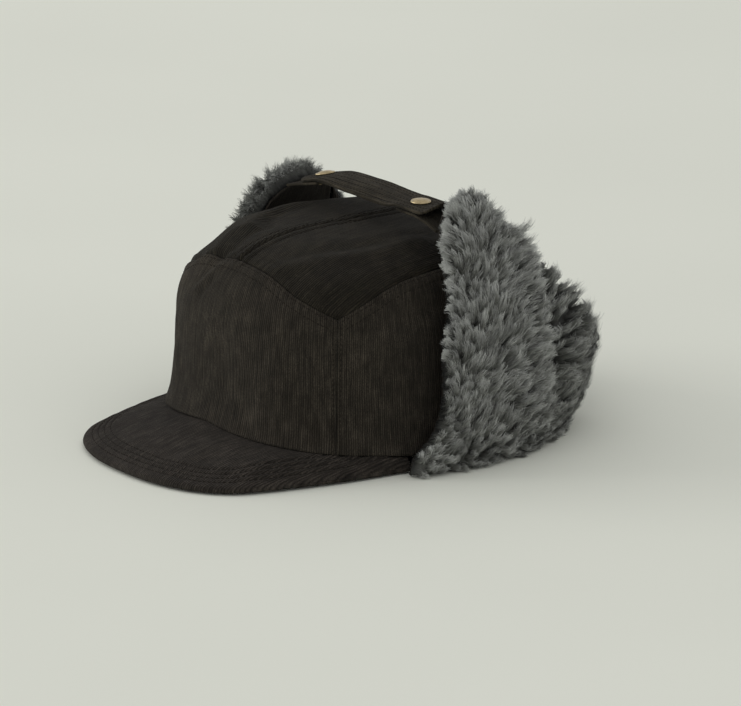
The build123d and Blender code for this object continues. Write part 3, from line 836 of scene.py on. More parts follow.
def brim_cloth():
    end = BRIM_END - 0.4
    nd = 300
    deg = np.linspace(-end, end, nd)[None, :]
    v = 1 - (1 - np.linspace(0, 1, 84)) ** 1.12
    v = v[:, None]
    r = brim_r(deg, v)
    z = brim_top(deg, v)
    p = at(deg * np.ones_like(v), r, z)
    d, _ = from_brim_edge(p)
    soft = np.clip(d / 6.0, 0, 1)
    wr = 1.0 * noise3(p * np.array([1, 1, 0.3]), 24.0, 11) + 0.62 * noise3(p, 11.0, 12) + 0.22 * noise3(p, 5.0, 13)
    # never down to the board inside, 1.3 mm below the drawn surface
    lift = np.maximum(brim_rows(d) + wr * soft * np.clip(v * 5, 0, 1) * 0.8 - 0.25, -0.8)
    # the rim rolls over: a quarter round whose radius is the half thickness
    R = 2.3
    e = np.clip(1 - d / R, 0, 1)
    roll = R * (1 - np.sqrt(np.clip(1 - e * e, 0, 1)))
    p[..., 2] += lift * (1 - e) - roll
    under = p.copy()
    top = p
    # under side
    zu = brim_top(deg, v) - 4.1
    q = at(deg * np.ones_like(v), r, zu)
    d2, _ = from_brim_edge(q)
    lift2 = -(brim_rows(d2) * 0.8) - 0.2 * noise3(q, 20.0, 17) * np.clip(d2 / 6, 0, 1)
    roll2 = 1.9 * (1 - np.sqrt(np.clip(1 - np.clip(1 - d2 / 1.9, 0, 1) ** 2, 0, 1)))
    q[..., 2] += lift2 + roll2
    q[..., 2] = np.maximum(q[..., 2], 0.02)
    uv_t = np.stack([p[..., 0], p[..., 1]], -1)
    mid_t = top.copy()
    mid_t[..., 2] = np.maximum(top[..., 2] - 1.2, q[..., 2] + 1.55)
    mid_t[-1] = top[-1] * 0.5 + q[-1] * 0.5
    vv, ff, uu = closed(top, mid_t, uv_t)
    a = mesh_object("brim_upper_cloth", vv, ff, CORDUROY_BRIM, "crown", uv=uu)
    mid_b = q.copy()
    mid_b[..., 2] = np.minimum(q[..., 2] + 1.2, top[..., 2] - 1.6)
    mid_b[-1] = top[-1] * 0.5 + q[-1] * 0.5
    vv, ff, uu = closed(mid_b, q, uv_t)
    b = mesh_object("brim_under_cloth", vv, ff, CORDUROY_BRIM, "crown", uv=uu)
    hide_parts("brim_upper_cover")
    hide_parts("brim_under_cover")
    # thread
    paths, normals = [], []
    for row in ROWS:
        dd = np.linspace(-end + 2.5, end - 2.5, 260)
        e_pts = at(dd, brim_outline(dd), 0.0)
        t = unit(np.gradient(e_pts, axis=0))
        inward = np.cross(np.array([0, 0, 1.0]), t)
        q2 = e_pts + inward * row
        dg = np.degrees(np.arctan2(q2[:, 0], -(q2[:, 1] - Y0)))
        rr = np.hypot(q2[:, 0], q2[:, 1] - Y0)
        r0 = base_r(dg) - 1.8
        vv2 = (rr - r0) / (brim_outline(dg) - r0)
        keep = (vv2 > 0.06) & (np.abs(dg) < end - 1)
        pp = at(dg, rr, brim_top(dg, vv2))
        dch, _ = from_brim_edge(pp)
        keep &= dch > row - 0.25
        wr = 1.0 * noise3(pp * np.array([1, 1, 0.3]), 24.0, 11) + 0.62 * noise3(pp, 11.0, 12) + 0.22 * noise3(pp, 5.0, 13)
        pp[:, 2] += np.maximum(brim_rows(dch) + wr * np.clip(dch / 6.0, 0, 1) * np.clip(vv2 * 5, 0, 1) * 0.8 - 0.25, -0.8)
        paths.append(pp[keep])
        normals.append(np.tile([0, 0, 1.0], (keep.sum(), 1)))
    stitch_piece("brim_topstitch", paths, normals, "crown", THREAD, r=0.24, lift=0.08)


brim_cloth()

# ---------------------------------------------------------------------------
# Inside: lining, sweatband, label, and the binding that the flaps hang from
# ---------------------------------------------------------------------------
LIN_OFF, LIN_T, LIN_S, SWEAT_H = -2.6, 0.7, 0.82, 31.0


def lining():
    k = np.linspace(0.03, LIN_S, 60)[:, None]
    d = np.linspace(-179.85, 179.85, 300)[None, :]
    p = crown_pt(d * np.ones_like(k), k * np.ones_like(d), LIN_OFF)
    n = crown_normal(d * np.ones_like(k), k * np.ones_like(d))
    w = 0.5 * noise3(p * np.array([1, 1, 0.35]), 14.0, 21) + 0.25 * noise3(p, 7.0, 22)
    p = p - n * (0.5 + w * 0.7)[..., None]
    uv = np.stack([EDGE_LEN(d) * np.ones_like(k), p[..., 2]], -1)
    v, f, uu = closed(p, p - n * LIN_T, uv)
    ob = mesh_object("lining_side_cloth", v, f, LINING, "crown", uv=uu)
    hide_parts("lining_side_band")
    f0 = (1 - (LIN_S + 0.004) ** CROWN_N) ** (1 / CROWN_N)
    kk = np.linspace(0, 1, 50)[:, None]
    ff = f0 * (1 - kk) + 0.0005
    s = np.clip(1 - ff**CROWN_N, 0, 1) ** (1 / CROWN_N)
    deg = np.linspace(-180, 180, 241)[None, :-1] * np.ones_like(s)
    s = s * np.ones_like(deg)
    p = crown_pt(deg, s, LIN_OFF - 0.1)
    n = crown_normal(deg, s)
    w = 0.5 * noise3(p, 16.0, 23) + 0.2 * noise3(p, 8.0, 24)
    p = p - n * (0.6 + w * 0.6)[..., None]
    uv = np.stack([p[..., 0], p[..., 1]], -1)
    v, f, uu = closed(p, p - n * LIN_T, uv, wrap=True)
    ob = mesh_object("lining_top_cloth", v, f, LINING, "crown", uv=uu)
    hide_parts("lining_top_piece")


lining()


def band_r(deg, z):
    s = z / (CROWN_TOP - edge_z(deg))
    g = 1 + CROWN_FLARE * (np.exp(-s / 0.12) - 1)
    f = np.maximum(0.0, 1 - s**CROWN_N) ** (1 / CROWN_N)
    return base_r(deg) * f * g


def sweatband():
    k = np.linspace(0.3, SWEAT_H, 40)[:, None]
    d = np.linspace(-179.8, 179.8, 320)[None, :]
    q = (k - 0.3) / (SWEAT_H - 0.3)
    bulge = 0.7 * np.sin(math.pi * q) ** 0.6 - 0.35 * bell(k - 3.2, 0.7) - 0.35 * bell(k - 27.6, 0.7)
    z = edge_z(d) + k
    r = band_r(d, k) - 3.8
    p = at(d * np.ones_like(k), r, z)
    w = 0.30 * noise3(p * np.array([1, 1, 0.3]), 12.0, 31)
    edge = rim(40, 320, 0.79, 2.0, 1.2)
    out = at(d * np.ones_like(k), r - 0.5 * (1 - edge) * 1.0, z)
    inn = at(d * np.ones_like(k), r - 0.55 - (0.75 + 0 * k) * edge - bulge - w, z)
    uv = np.stack([EDGE_LEN(d) * np.ones_like(k), z], -1)
    v, f, uu = closed(out, inn, uv)
    ob = mesh_object("sweatband_cloth", v, f, SWEAT, "crown", uv=uu)
    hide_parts("sweatband")
    paths, normals = [], []
    for h in (3.2, 27.6):
        dd = np.linspace(-179, 179, 500)
        r = band_r(dd, np.full_like(dd, h)) - 3.8 - 0.55 - 0.75
        qq = (h - 0.3) / (SWEAT_H - 0.3)
        b = 0.7 * math.sin(math.pi * qq) ** 0.6 - 0.35
        p0 = at(dd, r, edge_z(dd) + h)
        w = 0.30 * noise3(at(dd, band_r(dd, np.full_like(dd, h)) - 3.8, edge_z(dd) + h) * np.array([1, 1, 0.3]), 12.0, 31)
        pp = at(dd, r - b - w, edge_z(dd) + h)
        nn = -at(dd, 1.0, 0.0) + np.array([0, Y0, 0.0])
        paths.append(pp)
        normals.append(unit(nn))
    stitch_piece("sweatband_stitch", paths, normals, "crown", THREAD_INNER, r=0.24, lift=0.05)
    # blank label, held by a line of thread at each end
    k = np.linspace(6, 30, 24)[:, None]
    d = np.linspace(171.5, 187.5, 30)[None, :]
    r = band_r(d, k) - 5.3
    z = edge_z(d) + k
    sag = 0.9 * np.sin(math.pi * (k - 6) / 24) * (0.6 + 0.4 * np.sin((d - 171.5) * 0.9))
    p = at(d * np.ones_like(k), r - 0.9 - sag * 0.5, z)
    nn = unit(at(d * np.ones_like(k), 1.0 + 0 * k, 0 * k) - np.array([0, Y0, 0.0]))
    uv = np.stack([(d - 171.5) * 1.7 * np.ones_like(k), z], -1)
    v, f, uu = closed(p, p - nn * 0.35, uv)
    ob = mesh_object("care_label_cloth", v, f, LABEL, "crown", uv=uu)
    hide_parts("care_label")
    paths, normals = [], []
    for dd in (172.1, 186.9):
        kk = np.linspace(7, 29, 30)
        sag = 0.9 * np.sin(math.pi * (kk - 6) / 24) * (0.6 + 0.4 * math.sin((dd - 171.5) * 0.9))
        r = band_r(dd, kk) - 5.3 - 1.25 - sag * 0.5
        paths.append(at(np.full_like(kk, dd), r, edge_z(dd) + kk))
        normals.append(np.tile(-(at(dd, 1.0, 0.0) - np.array([0, Y0, 0.0])), (30, 1)))
    stitch_piece("label_stitch", paths, normals, "crown", THREAD_INNER, r=0.2, lift=0.05, step=2.2)


sweatband()


def binding():
    """A rounded roll of tape round the root of the flaps."""
    d = np.linspace(BRIM_END + 1.2, 360 - BRIM_END - 1.2, 340)
    n = 28
    a = np.linspace(0, 2 * math.pi, n, endpoint=False)
    e = 5.0
    cu = np.sign(np.cos(a)) * np.abs(np.cos(a)) ** (2 / e)
    cz = np.sign(np.sin(a)) * np.abs(np.sin(a)) ** (2 / e)
    u = 1.3 + 3.85 * cu
    z = 3.55 + 3.5 * cz
    g = at(d[:, None] * np.ones(n), base_r(d)[:, None] + u[None, :], z[None, :] * np.ones((len(d), 1)))
    w = 0.25 * noise3(g, 9.0, 41)
    c = at(d[:, None] * np.ones(n), base_r(d)[:, None] + 1.3, 3.55 * np.ones((len(d), n)))
    g = g + unit(g - c) * np.minimum(w, 0)[..., None]
    g[..., 2] = np.maximum(g[..., 2], 0.0)
    v = g.reshape(-1, 3)
    f = quads(len(d), n, 0, True)
    arc = np.concatenate([[0], np.cumsum(np.linalg.norm(np.diff(c[:, 0], axis=0), axis=1))])
    uv = np.stack([arc[:, None] * np.ones(n), np.arange(n)[None, :] * 0.9 * np.ones((len(d), 1))], -1).reshape(-1, 2)
    # cap both ends with a fan of quads
    caps, vs, uvs = [], [v], [uv]
    base = len(v)
    for row, turn in ((0, True), (len(d) - 1, False)):
        centre = g[row].mean(0)
        ring = row * n + np.arange(n)
        vs.append(centre[None])
        uvs.append(uv[row * n : row * n + 1])
        for j in range(0, n, 2):
            q = [base, ring[j], ring[(j + 1) % n], ring[(j + 2) % n]]
            caps.append(q[::-1] if turn else q)
        base += 1
    ob = mesh_object(
        "flap_root_binding_cloth", np.concatenate(vs), np.concatenate([f, np.array(caps)]), BINDING, "crown", uv=np.concatenate(uvs)
    )
    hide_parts("flap_root_binding")


binding()

# ---------------------------------------------------------------------------
# Flaps
# ---------------------------------------------------------------------------
LEAN = {
    1: table([0, 20, 40, 71, 83, 95, 110, 126, 142, 152], [8.6, 8.4, 6.2, 2.5, -0.4, -4.2, -10.0, -16.6, -23.6, -28.5]),
    -1: table([0, 20, 40, 71, 83, 95, 107, 119, 133, 142], [8.6, 8.2, 5.6, -0.6, -4.6, -9.6, -15.0, -20.8, -28.6, -33.0]),
}
FRONT = {
    1: table([0, 10, 20, 40, 71, 83, 95, 126, 143], [70.0, 71.5, 77.0, 82.0, 83.6, 86.2, 88.0, 91.2, 96.0]),
    -1: table([0, 10, 20, 40, 71, 95, 107, 119, 128], [70.0, 71.5, 77.0, 81.6, 83.6, 86.0, 88.4, 91.6, 96.0]),
}
EDGE = {
    1: table([88, 95, 101, 108, 113, 118], [133, 142, 144.5, 137.5, 126.5, 115]),
    -1: table([88, 95, 101, 108, 113, 118], [114, 120.5, 123.5, 123.3, 120, 115]),
}
EDGE_BACK = table([118, 128, 135, 141, 150, 165, 180], [115, 86, 69, 58.5, 51, 48, 47.5])
_neck_lean = table([0, 15, 35, 50, 62, 130], [8.6, 9.2, 13.6, 17.0, 16.0, -8.0])
_lean_mix = table([92, 108, 118, 128, 142], [0.0, 0.10, 0.36, 0.80, 1.0])


def lean(deg, z, side=1):
    ear = LEAN[side](z)
    neck = _neck_lean(z)
    return ear + (neck - ear) * _lean_mix(fold(deg))


def flap_top(deg, side=1):
    d = fold(deg)
    return np.where(d <= EAR_BACK, EDGE[side](d), EDGE_BACK(d))


def chord(d0, d1):
    return [at(d, base_r(d) + FOLD_U, 0.0) for d in (d0, d1)]


CHORDS = [
    chord(EAR_FRONT, EAR_BACK - 0.35),
    chord(EAR_BACK + 0.35, NECK_EDGE - 0.35),
    chord(NECK_EDGE + 0.35, 360 - NECK_EDGE - 0.35),
    chord(360 - NECK_EDGE + 0.35, 360 - EAR_BACK - 0.35),
]


def half_turn(k):
    h = [math.atan2(c[1][1] - c[0][1], c[1][0] - c[0][0]) for c in CHORDS[k : k + 2]]
    return abs((h[1] - h[0] + math.pi) % (2 * math.pi) - math.pi) / 2


def fit(g, k, lo=True, hi=True, gap=0.35):
    """Draw a panel in from its corners, as the frame does. g is (rows, n, 3)."""
    a0, b0 = CHORDS[k]
    t = unit((b0 - a0)[None])[0]
    length = float(np.linalg.norm(b0 - a0))
    nrm = np.array([t[1], -t[0], 0.0])
    s = (g - a0) @ t
    u = (g - a0) @ nrm
    a, b = s[:, :1], s[:, -1:]
    na = np.abs(u[:, :1]) * math.tan(half_turn(k - 1)) + gap if lo else a
    nb = length - np.abs(u[:, -1:]) * math.tan(half_turn(k)) - gap if hi else b
    s2 = na + (nb - na) * (s - a) / (b - a)
    out = a0 + t * s2[..., None] + nrm * u[..., None]
    out[..., 2] = g[..., 2]
    return out


class Panel:
    """One rigid panel of the long flap: p(w, h, u) gives a point u mm outside
    the middle of its cloth, w along the fold and h from the fold to the edge."""

    def __init__(self, name, body, kind, side=1):
        self.name, self.body, self.kind, self.side = name, body, kind, side

    def p(self, w, h, u=0.0, fitted=True, gap=0.35, extra=0.0):
        w, h = np.asarray(w, float), np.asarray(h, float)
        if self.kind == "ear":
            end = EAR_BACK - PANEL_GAP
            zt = flap_top(90.0 + (end - 90.0) * w, self.side) + extra
            zt = zt - np.where(w < 0.12, (0.12 - w) ** 2 * 260, 0)
            z = FLAP_Z0 + (zt - FLAP_Z0) * h
            front = FRONT[self.side](z)
            d = front + (end - front) * w
            g = at(d, base_r(d) + lean(d, z, self.side) + u, z)
            g = fit(g, 0, lo=False, gap=gap) if fitted else g
            if self.side < 0:
                g = g * np.array([-1, 1, 1])
        else:
            if self.kind == "corner":
                d0, d1, k = EAR_BACK + PANEL_GAP, NECK_EDGE - PANEL_GAP, 1
            else:
                d0, d1, k = NECK_EDGE + PANEL_GAP, 360 - NECK_EDGE - PANEL_GAP, 2
            d = d0 + (d1 - d0) * w
            zt = flap_top(d) + extra
            z = FLAP_Z0 + (zt - FLAP_Z0) * h
            g = at(d, base_r(d) + lean(d, z) + u, z)
            g = fit(g, k, gap=gap) if fitted else g
            if self.side < 0:
                g = g * np.array([-1, 1, 1])
        return g


PANELS = [
    Panel("left_ear", "left_ear_flap", "ear", 1),
    Panel("left_corner", "left_corner_flap", "corner", 1),
    Panel("neck", "neck_flap", "neck", 1),
    Panel("right_corner", "right_corner_flap", "corner", -1),
    Panel("right_ear", "right_ear_flap", "ear", -1),
]


def oriented(g, side):
    """Rows keep running the same way round, so that faces look outward."""
    return g[:, ::-1] if side < 0 else g


def puff(w, h):
    a = np.minimum(1.0, np.minimum(4.0 * h, 5.0 * (1 - h) + 0.35))
    b = np.minimum(1.0, np.minimum(6.0 * w + 0.4, 6.0 * (1 - w) + 0.5))
    a = np.maximum(a, 0.3)
    return SHELL_T / 2 + PILE_T * (0.35 + 0.65 * np.sin(0.5 * math.pi * np.minimum(a, b)))


def flap_cloth(pn):
    wide = {"ear": 92.0, "corner": 56.0, "neck": 118.0}[pn.kind]
    tall = {"ear": 140.0, "corner": 90.0, "neck": 50.0}[pn.kind]
    nw, nh = int(wide / 1.15), int(tall / 1.15)
    w = np.linspace(0, 1, nw)[None, :] * np.ones((nh, 1))
    h = np.linspace(0, 1, nh)[:, None] * np.ones((1, nw))
    mid = pn.p(w, h)
    half = SHELL_T / 2
    e = rim(nh, nw, tall / nh, wide / nw, 1.5)
    soft = 0.28 * noise3(mid, 15.0, 51) + 0.14 * noise3(mid, 6.5, 52)
    fence = np.minimum(np.minimum(h, 1 - h) * tall, np.minimum(w, 1 - w) * wide)
    row = -0.28 * bell(fence - 5.0, 0.7)
    out = oriented(pn.p(w, h, half * (0.25 + 0.75 * e)), pn.side)
    inn = pn.p(w, h, -half * (0.25 + 0.75 * e) - (soft + row) * np.clip(fence / 2, 0, 1) * 0.8)
    inn = oriented(inn, pn.side)
    uv = np.stack([w * wide, h * tall], -1)
    uv = uv[:, ::-1] if pn.side < 0 else uv
    v, f, uu = closed(out, inn, uv)
    ob = mesh_object(f"{pn.name}_flap_cloth", v, f, CORDUROY_FLAP, pn.body, uv=uu)
    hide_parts(f"{pn.body}_shell")
    # the path of a row of thread inside the rim, on the crown's side; no thread is made from it
    loop_w = np.concatenate([np.full(60, 5.0 / wide), np.linspace(5.0 / wide, 1 - 5.0 / wide, 80), np.full(60, 1 - 5.0 / wide)])
    loop_h = np.concatenate([np.linspace(0.04, 1 - 5.0 / tall, 60), np.full(80, 1 - 5.0 / tall), np.linspace(1 - 5.0 / tall, 0.04, 60)])
    return ob


for pn in PANELS:
    flap_cloth(pn)


def pile(pn, spacing=4.0, strands=40):
    """Long wool pile as locks: each is a soft core with wavy strands round it."""
    rng = np.random.default_rng(sum(map(ord, pn.name)) * 7 + 5)
    wide = {"ear": 92.0, "corner": 54.0, "neck": 118.0}[pn.kind]
    tall = {"ear": 138.0, "corner": 88.0, "neck": 49.0}[pn.kind]
    # backing: a low, lumpy mat
    nw, nh = int(wide / 1.6), int(tall / 1.6)
    w = np.linspace(0, 1, nw)[None, :] * np.ones((nh, 1))
    h = np.linspace(0, 1, nh)[:, None] * np.ones((1, nw))
    low = pn.p(w, h, SHELL_T / 2 + 0.05)
    e = rim(nh, nw, tall / nh, wide / nw, 7.0)
    lump = 0.5 + 0.5 * noise3(low, 4.2, 61)
    up = (puff(w, h) - SHELL_T / 2) * (0.40 + 0.22 * lump) * e
    high = pn.p(w, h, SHELL_T / 2 + 0.25 + up)
    uv = np.stack([w * wide, h * tall], -1)
    v, f, uu = closed(oriented(high, pn.side), oriented(low, pn.side), uv)
    n = nw * nh
    hh = (up / PILE_T).ravel()
    ob = mesh_object(
        f"{pn.name}_pile_backing", v, f, PILE, pn.body, uv=uu,
        attrs={"tip": np.concatenate([0.12 + 0.35 * (lump * e).ravel(), np.zeros(n)]), "tone": np.full(2 * n, 0.35)},
    )
    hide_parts(f"{pn.body}_pile")

    # locks on a jittered grid
    gw, gh = max(2, int(wide / spacing)), max(2, int(tall / spacing))
    W, Hh = np.meshgrid((np.arange(gw) + 0.5) / gw, (np.arange(gh) + 0.5) / gh)
    W = W + (np.arange(gh) % 2)[:, None] * 0.5 / gw
    W = (W + rng.uniform(-0.34, 0.34, W.shape) / gw).ravel()
    Hh = (Hh + rng.uniform(-0.34, 0.34, (gh, gw)) / gh).ravel()
    W = np.clip(W, 0.012, 0.988)
    Hh = np.clip(Hh, 0.012, 0.995)
    # more locks round the rim, to hide the backing's edge
    m = int((wide + 2 * tall) / 2.8)
    q = rng.random(m)
    total = wide + 2 * tall
    ew = np.where(q < tall / total, 0.012, np.where(q < (tall + wide) / total, (q * total - tall) / wide, 0.988))
    eh = np.where(q < tall / total, q * total / tall, np.where(q < (tall + wide) / total, 0.99, (q * total - tall - wide) / tall))
    W = np.concatenate([W, ew])
    Hh = np.concatenate([Hh, np.clip(eh, 0.01, 0.99)])
    L = len(W)
    Wc, Hc = W[None, :], Hh[None, :]

    def frame_at(W, Hh):
        eps = 0.004
        # the panel's fit works on whole rows, so evaluate on a fine grid
        return None

    # sample the panel on a fine grid and interpolate
    fw, fh = 121, 121
    gw2 = np.linspace(0, 1, fw)[None, :] * np.ones((fh, 1))
    gh2 = np.linspace(0, 1, fh)[:, None] * np.ones((1, fw))
    P0 = pn.p(gw2, gh2, SHELL_T / 2)
    P1 = pn.p(gw2, gh2, SHELL_T / 2 + 10.0)
    dW = unit(np.gradient(P0, axis=1))
    dH = unit(np.gradient(P0, axis=0))
    N = unit(np.cross(dW, dH)) * (1 if pn.side > 0 else -1)
    N = unit(N + unit(P1 - P0) * 0.3)

    def sample(G, W, Hh):
        x = np.clip(W, 0, 1) * (fw - 1)
        y = np.clip(Hh, 0, 1) * (fh - 1)
        i, j = np.clip(np.floor(y).astype(int), 0, fh - 2), np.clip(np.floor(x).astype(int), 0, fw - 2)
        fy, fx = (y - i)[:, None], (x - j)[:, None]
        return (
            G[i, j] * (1 - fy) * (1 - fx) + G[i, j + 1] * (1 - fy) * fx + G[i + 1, j] * fy * (1 - fx) + G[i + 1, j + 1] * fy * fx
        )

    root = sample(P0, W, Hh)
    nrm = unit(sample(N, W, Hh))
    tw = unit(sample(dW, W, Hh))
    th = unit(np.cross(nrm, tw))
    th = np.where((th * sample(dH, W, Hh)).sum(-1, keepdims=True) < 0, -th, th)
    out_w = np.where(W < 0.5, -1.0, 1.0)[:, None] * np.clip(1 - np.minimum(W, 1 - W) * wide / 9.0, 0, 1)[:, None]
    out_h = np.clip(1 - (1 - Hh) * tall / 10.0, 0, 1)[:, None]
    out_l = -np.clip(1 - Hh * tall / 10.0, 0, 1)[:, None]
    thick = (puff(W, Hh) - SHELL_T / 2)
    # lay of the pile: towards the free edge, drifting from place to place
    drift = noise3(root, 24.0, 71) * 0.9 + noise3(root, 9.0, 72) * 0.9
    slant = (0.8 * (1 - Hh) + 0.05) * (0.6 if pn.kind == "corner" else 0.2 if pn.kind == "neck" else 1.0)
    ang = drift * 0.62 + slant * (1 if pn.side > 0 else -1)
    lay = th * np.cos(ang)[:, None] + tw * np.sin(ang)[:, None]
    if pn.kind != "ear":
        # locks beside the neck's corners stand straight, so none cross over when the flaps hang
        near = np.clip(1 - (1 - W if pn.kind == "corner" else np.minimum(W, 1 - W)) * wide / 13.0, 0, 1)
        lay = unit(lay - tw * ((lay * tw).sum(-1) * near)[:, None])
    side_sweep = np.where(W < 0.5, 0.35, 0.7) if pn.kind == "ear" else 0.1 + 0 * W
    lay = lay + tw * out_w * side_sweep[:, None] + th * out_h * 0.5 + th * out_l * 0.55
    lay = unit(lay)
    across = unit(np.cross(nrm, lay))
    rise = thick * rng.uniform(0.78, 1.04, L) * (0.93 + 0.12 * noise3(root, 7.0, 73))
    reach = rng.uniform(9.0, 16.0, L) * (0.5 + 0.5 * np.clip(thick / PILE_T, 0, 1))
    reach = reach * (1 - 0.5 * np.abs(out_w[:, 0])) * (1 - 0.55 * out_h[:, 0]) * (1 + 0.6 * out_l[:, 0])
    bend = rng.uniform(0.56, 0.76, L)
    curl = rng.uniform(-3.2, 3.2, L)
    if pn.kind != "ear":
        curl = curl * (1 - near)
        rise = rise * (1 - 0.22 * near)
    phase = rng.uniform(0, 2 * math.pi, L)
    # the column down the front edge is combed shorter and looks lighter
    front = np.exp(-((W * wide / 15.0) ** 2)) if pn.kind == "ear" else 0.0 * W
    reach = reach * (1 - 0.15 * front)
    rise = rise * (1 - 0.25 * front)
    corner = {"ear": np.clip(3 * W - 2, 0, 1), "corner": np.clip(1.3 - 1.3 * W, 0, 1), "neck": 0 * W}[pn.kind]
    reach = reach * (1 + (0.35 if pn.side > 0 else -0.45) * corner * np.clip(4 * Hh - 3, 0, 1))
    # painted highlight: the last term lifts the tone along the free upper rim (above 0.8 of the height), to lighten
    # pile that falls in shade
    tone = np.clip(0.5 + 0.30 * noise3(root, 11.0, 74) + rng.normal(0, 0.17, L) + 0.14 * front + 0.3 * np.clip(5 * Hh - 4, 0, 1), 0, 1)

    def centre(t):
        """Centre line of every lock at share t of its length."""
        hgt = rise * np.sin(t * math.pi * bend) / np.sin(np.minimum(bend, 0.5) * math.pi)
        fwd = reach * t**1.35
        sw = curl * (t**1.5) + 0.9 * np.sin(t * 5.6 + phase) * t
        return root + nrm * (hgt - 0.2)[:, None] + lay * fwd[:, None] + across * sw[:, None]

    SEG = 7
    ts = np.linspace(0, 1, SEG + 1)
    C = np.stack([centre(np.full(L, t)) for t in ts], 1)  # (L, SEG+1, 3)
    T = unit(np.gradient(C, axis=1))
    # cores
    sides = 5
    rad = np.interp(ts, [0, 0.25, 0.6, 0.85, 1], [1.5, 1.8, 1.3, 0.6, 0.08])
    a1 = unit(np.cross(T, across[:, None, :] + 0 * T))
    a2 = unit(np.cross(T, a1))
    rings = []
    squash = rng.uniform(0.8, 1.25, L)
    for qn in range(sides):
        an = 2 * math.pi * qn / sides
        rough = 1 + 0.22 * np.sin(an * 2 + phase)[:, None] * np.ones((1, SEG + 1))
        rr = rad[None, :] * rough
        rings.append(
            C + a1 * (np.cos(an) * rr)[..., None] + a2 * (np.sin(an) * rr * squash[:, None])[..., None]
        )
    R = np.stack(rings, 2)  # (L, SEG+1, sides, 3)
    V1 = R.reshape(-1, 3)
    one = quads(SEG + 1, sides, 0, True)
    F1 = (one[None] + (np.arange(L) * (SEG + 1) * sides)[:, None, None]).reshape(-1, 4)
    tip1 = np.broadcast_to((ts**1.15 * 0.86)[None, :, None], (L, SEG + 1, sides)).ravel()
    tone1 = np.broadcast_to(tone[:, None, None] * 0.9, (L, SEG + 1, sides)).ravel()
    # strands: flat ribbons round the core, wavy together
    S = strands
    offs = rng.normal(0, 1, (L, S, 2))
    offs = offs / np.maximum(1.0, np.linalg.norm(offs, axis=-1, keepdims=True)) * 2.45
    tipo = rng.normal(0, 0.95, (L, S, 2))
    longer = rng.uniform(0.78, 1.2, (L, S))
    ph = phase[:, None] + rng.normal(0, 0.6, (L, S))
    V2, tips = [], []
    width = np.interp(ts, [0, 0.5, 1], [0.34, 0.30, 0.12])
    for i, t in enumerate(ts):
        k = (1 - t) ** 0.8
        o = offs * (0.5 + 0.5 * math.sin(math.pi * min(1, t + 0.25))) * (0.45 + 0.55 * k) + tipo * t
        wv = 0.85 * np.sin(t * 12.5 + ph) * (0.3 + 0.7 * t)
        c = C[:, i][:, None, :] + (C[:, -1] - C[:, 0])[:, None, :] * ((longer - 1) * t)[..., None]
        p = c + a1[:, i][:, None, :] * o[..., :1] + a2[:, i][:, None, :] * (o[..., 1:] + wv[..., None])
        sidev = unit(np.cross(T[:, i], nrm))[:, None, :]
        twist = rng.normal(0, 0.0, 1)
        V2.append(np.stack([p - sidev * width[i] / 2, p + sidev * width[i] / 2], 2))
        tips.append(np.full((L, S, 2), t))
    V2 = np.stack(V2, 2)  # (L, S, SEG+1, 2, 3)
    TI = np.stack(tips, 2)
    TO = np.broadcast_to((tone[:, None] + rng.normal(0, 0.12, (L, S)))[:, :, None, None], TI.shape)
    V2f = V2.reshape(-1, 3)
    strip_q = quads(SEG + 1, 2, 0, False)
    F2 = (strip_q[None] + (np.arange(L * S) * (SEG + 1) * 2)[:, None, None]).reshape(-1, 4) + len(V1)
    V = np.concatenate([V1, V2f])
    V[:, 2] = np.maximum(V[:, 2], 0.25)
    F = np.concatenate([F1, F2])
    ob = mesh_object(
        f"{pn.name}_pile_locks", V, F, PILE, pn.body,
        attrs={"tip": np.concatenate([tip1, TI.ravel()]), "tone": np.clip(np.concatenate([tone1, TO.ravel()]), 0, 1)},
    )
    return ob


for pn in PANELS:
    pile(pn)


def fold_strip(pn):
    """The bend between the root binding and a flap, as one fixed strip."""
    d0, d1 = {"ear": (BRIM_END + 1.5, EAR_BACK - 0.5), "corner": (EAR_BACK + 0.5, NECK_EDGE - 0.5), "neck": (NECK_EDGE + 0.5, 360 - NECK_EDGE - 0.5)}[pn.kind]
    d = np.linspace(d0, d1, 60)
    us = np.array([4.7, 4.95, 5.3, 5.9, 6.7, 7.4, 7.9])
    zs = np.array([5.2, 3.9, 2.6, 1.5, 1.0, 1.1, 1.5])
    t = np.linspace(0, 1, 22)
    u = np.interp(t, np.linspace(0, 1, 7), us)
    z = np.interp(t, np.linspace(0, 1, 7), zs)
    g = at(d[None, :] * np.ones((22, 1)), base_r(d)[None, :] + u[:, None], z[:, None] * np.ones((1, 60)))
    g = g + 0.12 * noise3(g, 5.0, 81)[..., None]
    g[..., 2] = np.maximum(g[..., 2], 0.95)
    low = g.copy()
    low[..., 2] = np.maximum(g[..., 2] - 0.7, 0.15)
    if pn.side < 0:
        g, low = g * np.array([-1, 1, 1]), low * np.array([-1, 1, 1])
    uv = np.stack([d[None, :] * 1.8 * np.ones((22, 1)), t[:, None] * 8 * np.ones((1, 60))], -1)
    if pn.side < 0:
        g, low, uv = g[:, ::-1], low[:, ::-1], uv[:, ::-1]
    v, f, uu = closed(low, g, uv)
    f = f[:, ::-1]
    ob = mesh_object(f"{pn.name}_fold", v, f, BINDING, None, uv=uu)
    c = at(d.mean(), base_r(d.mean()) + 6.0, 0.0)
    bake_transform(ob)


for pn in PANELS:
    fold_strip(pn)

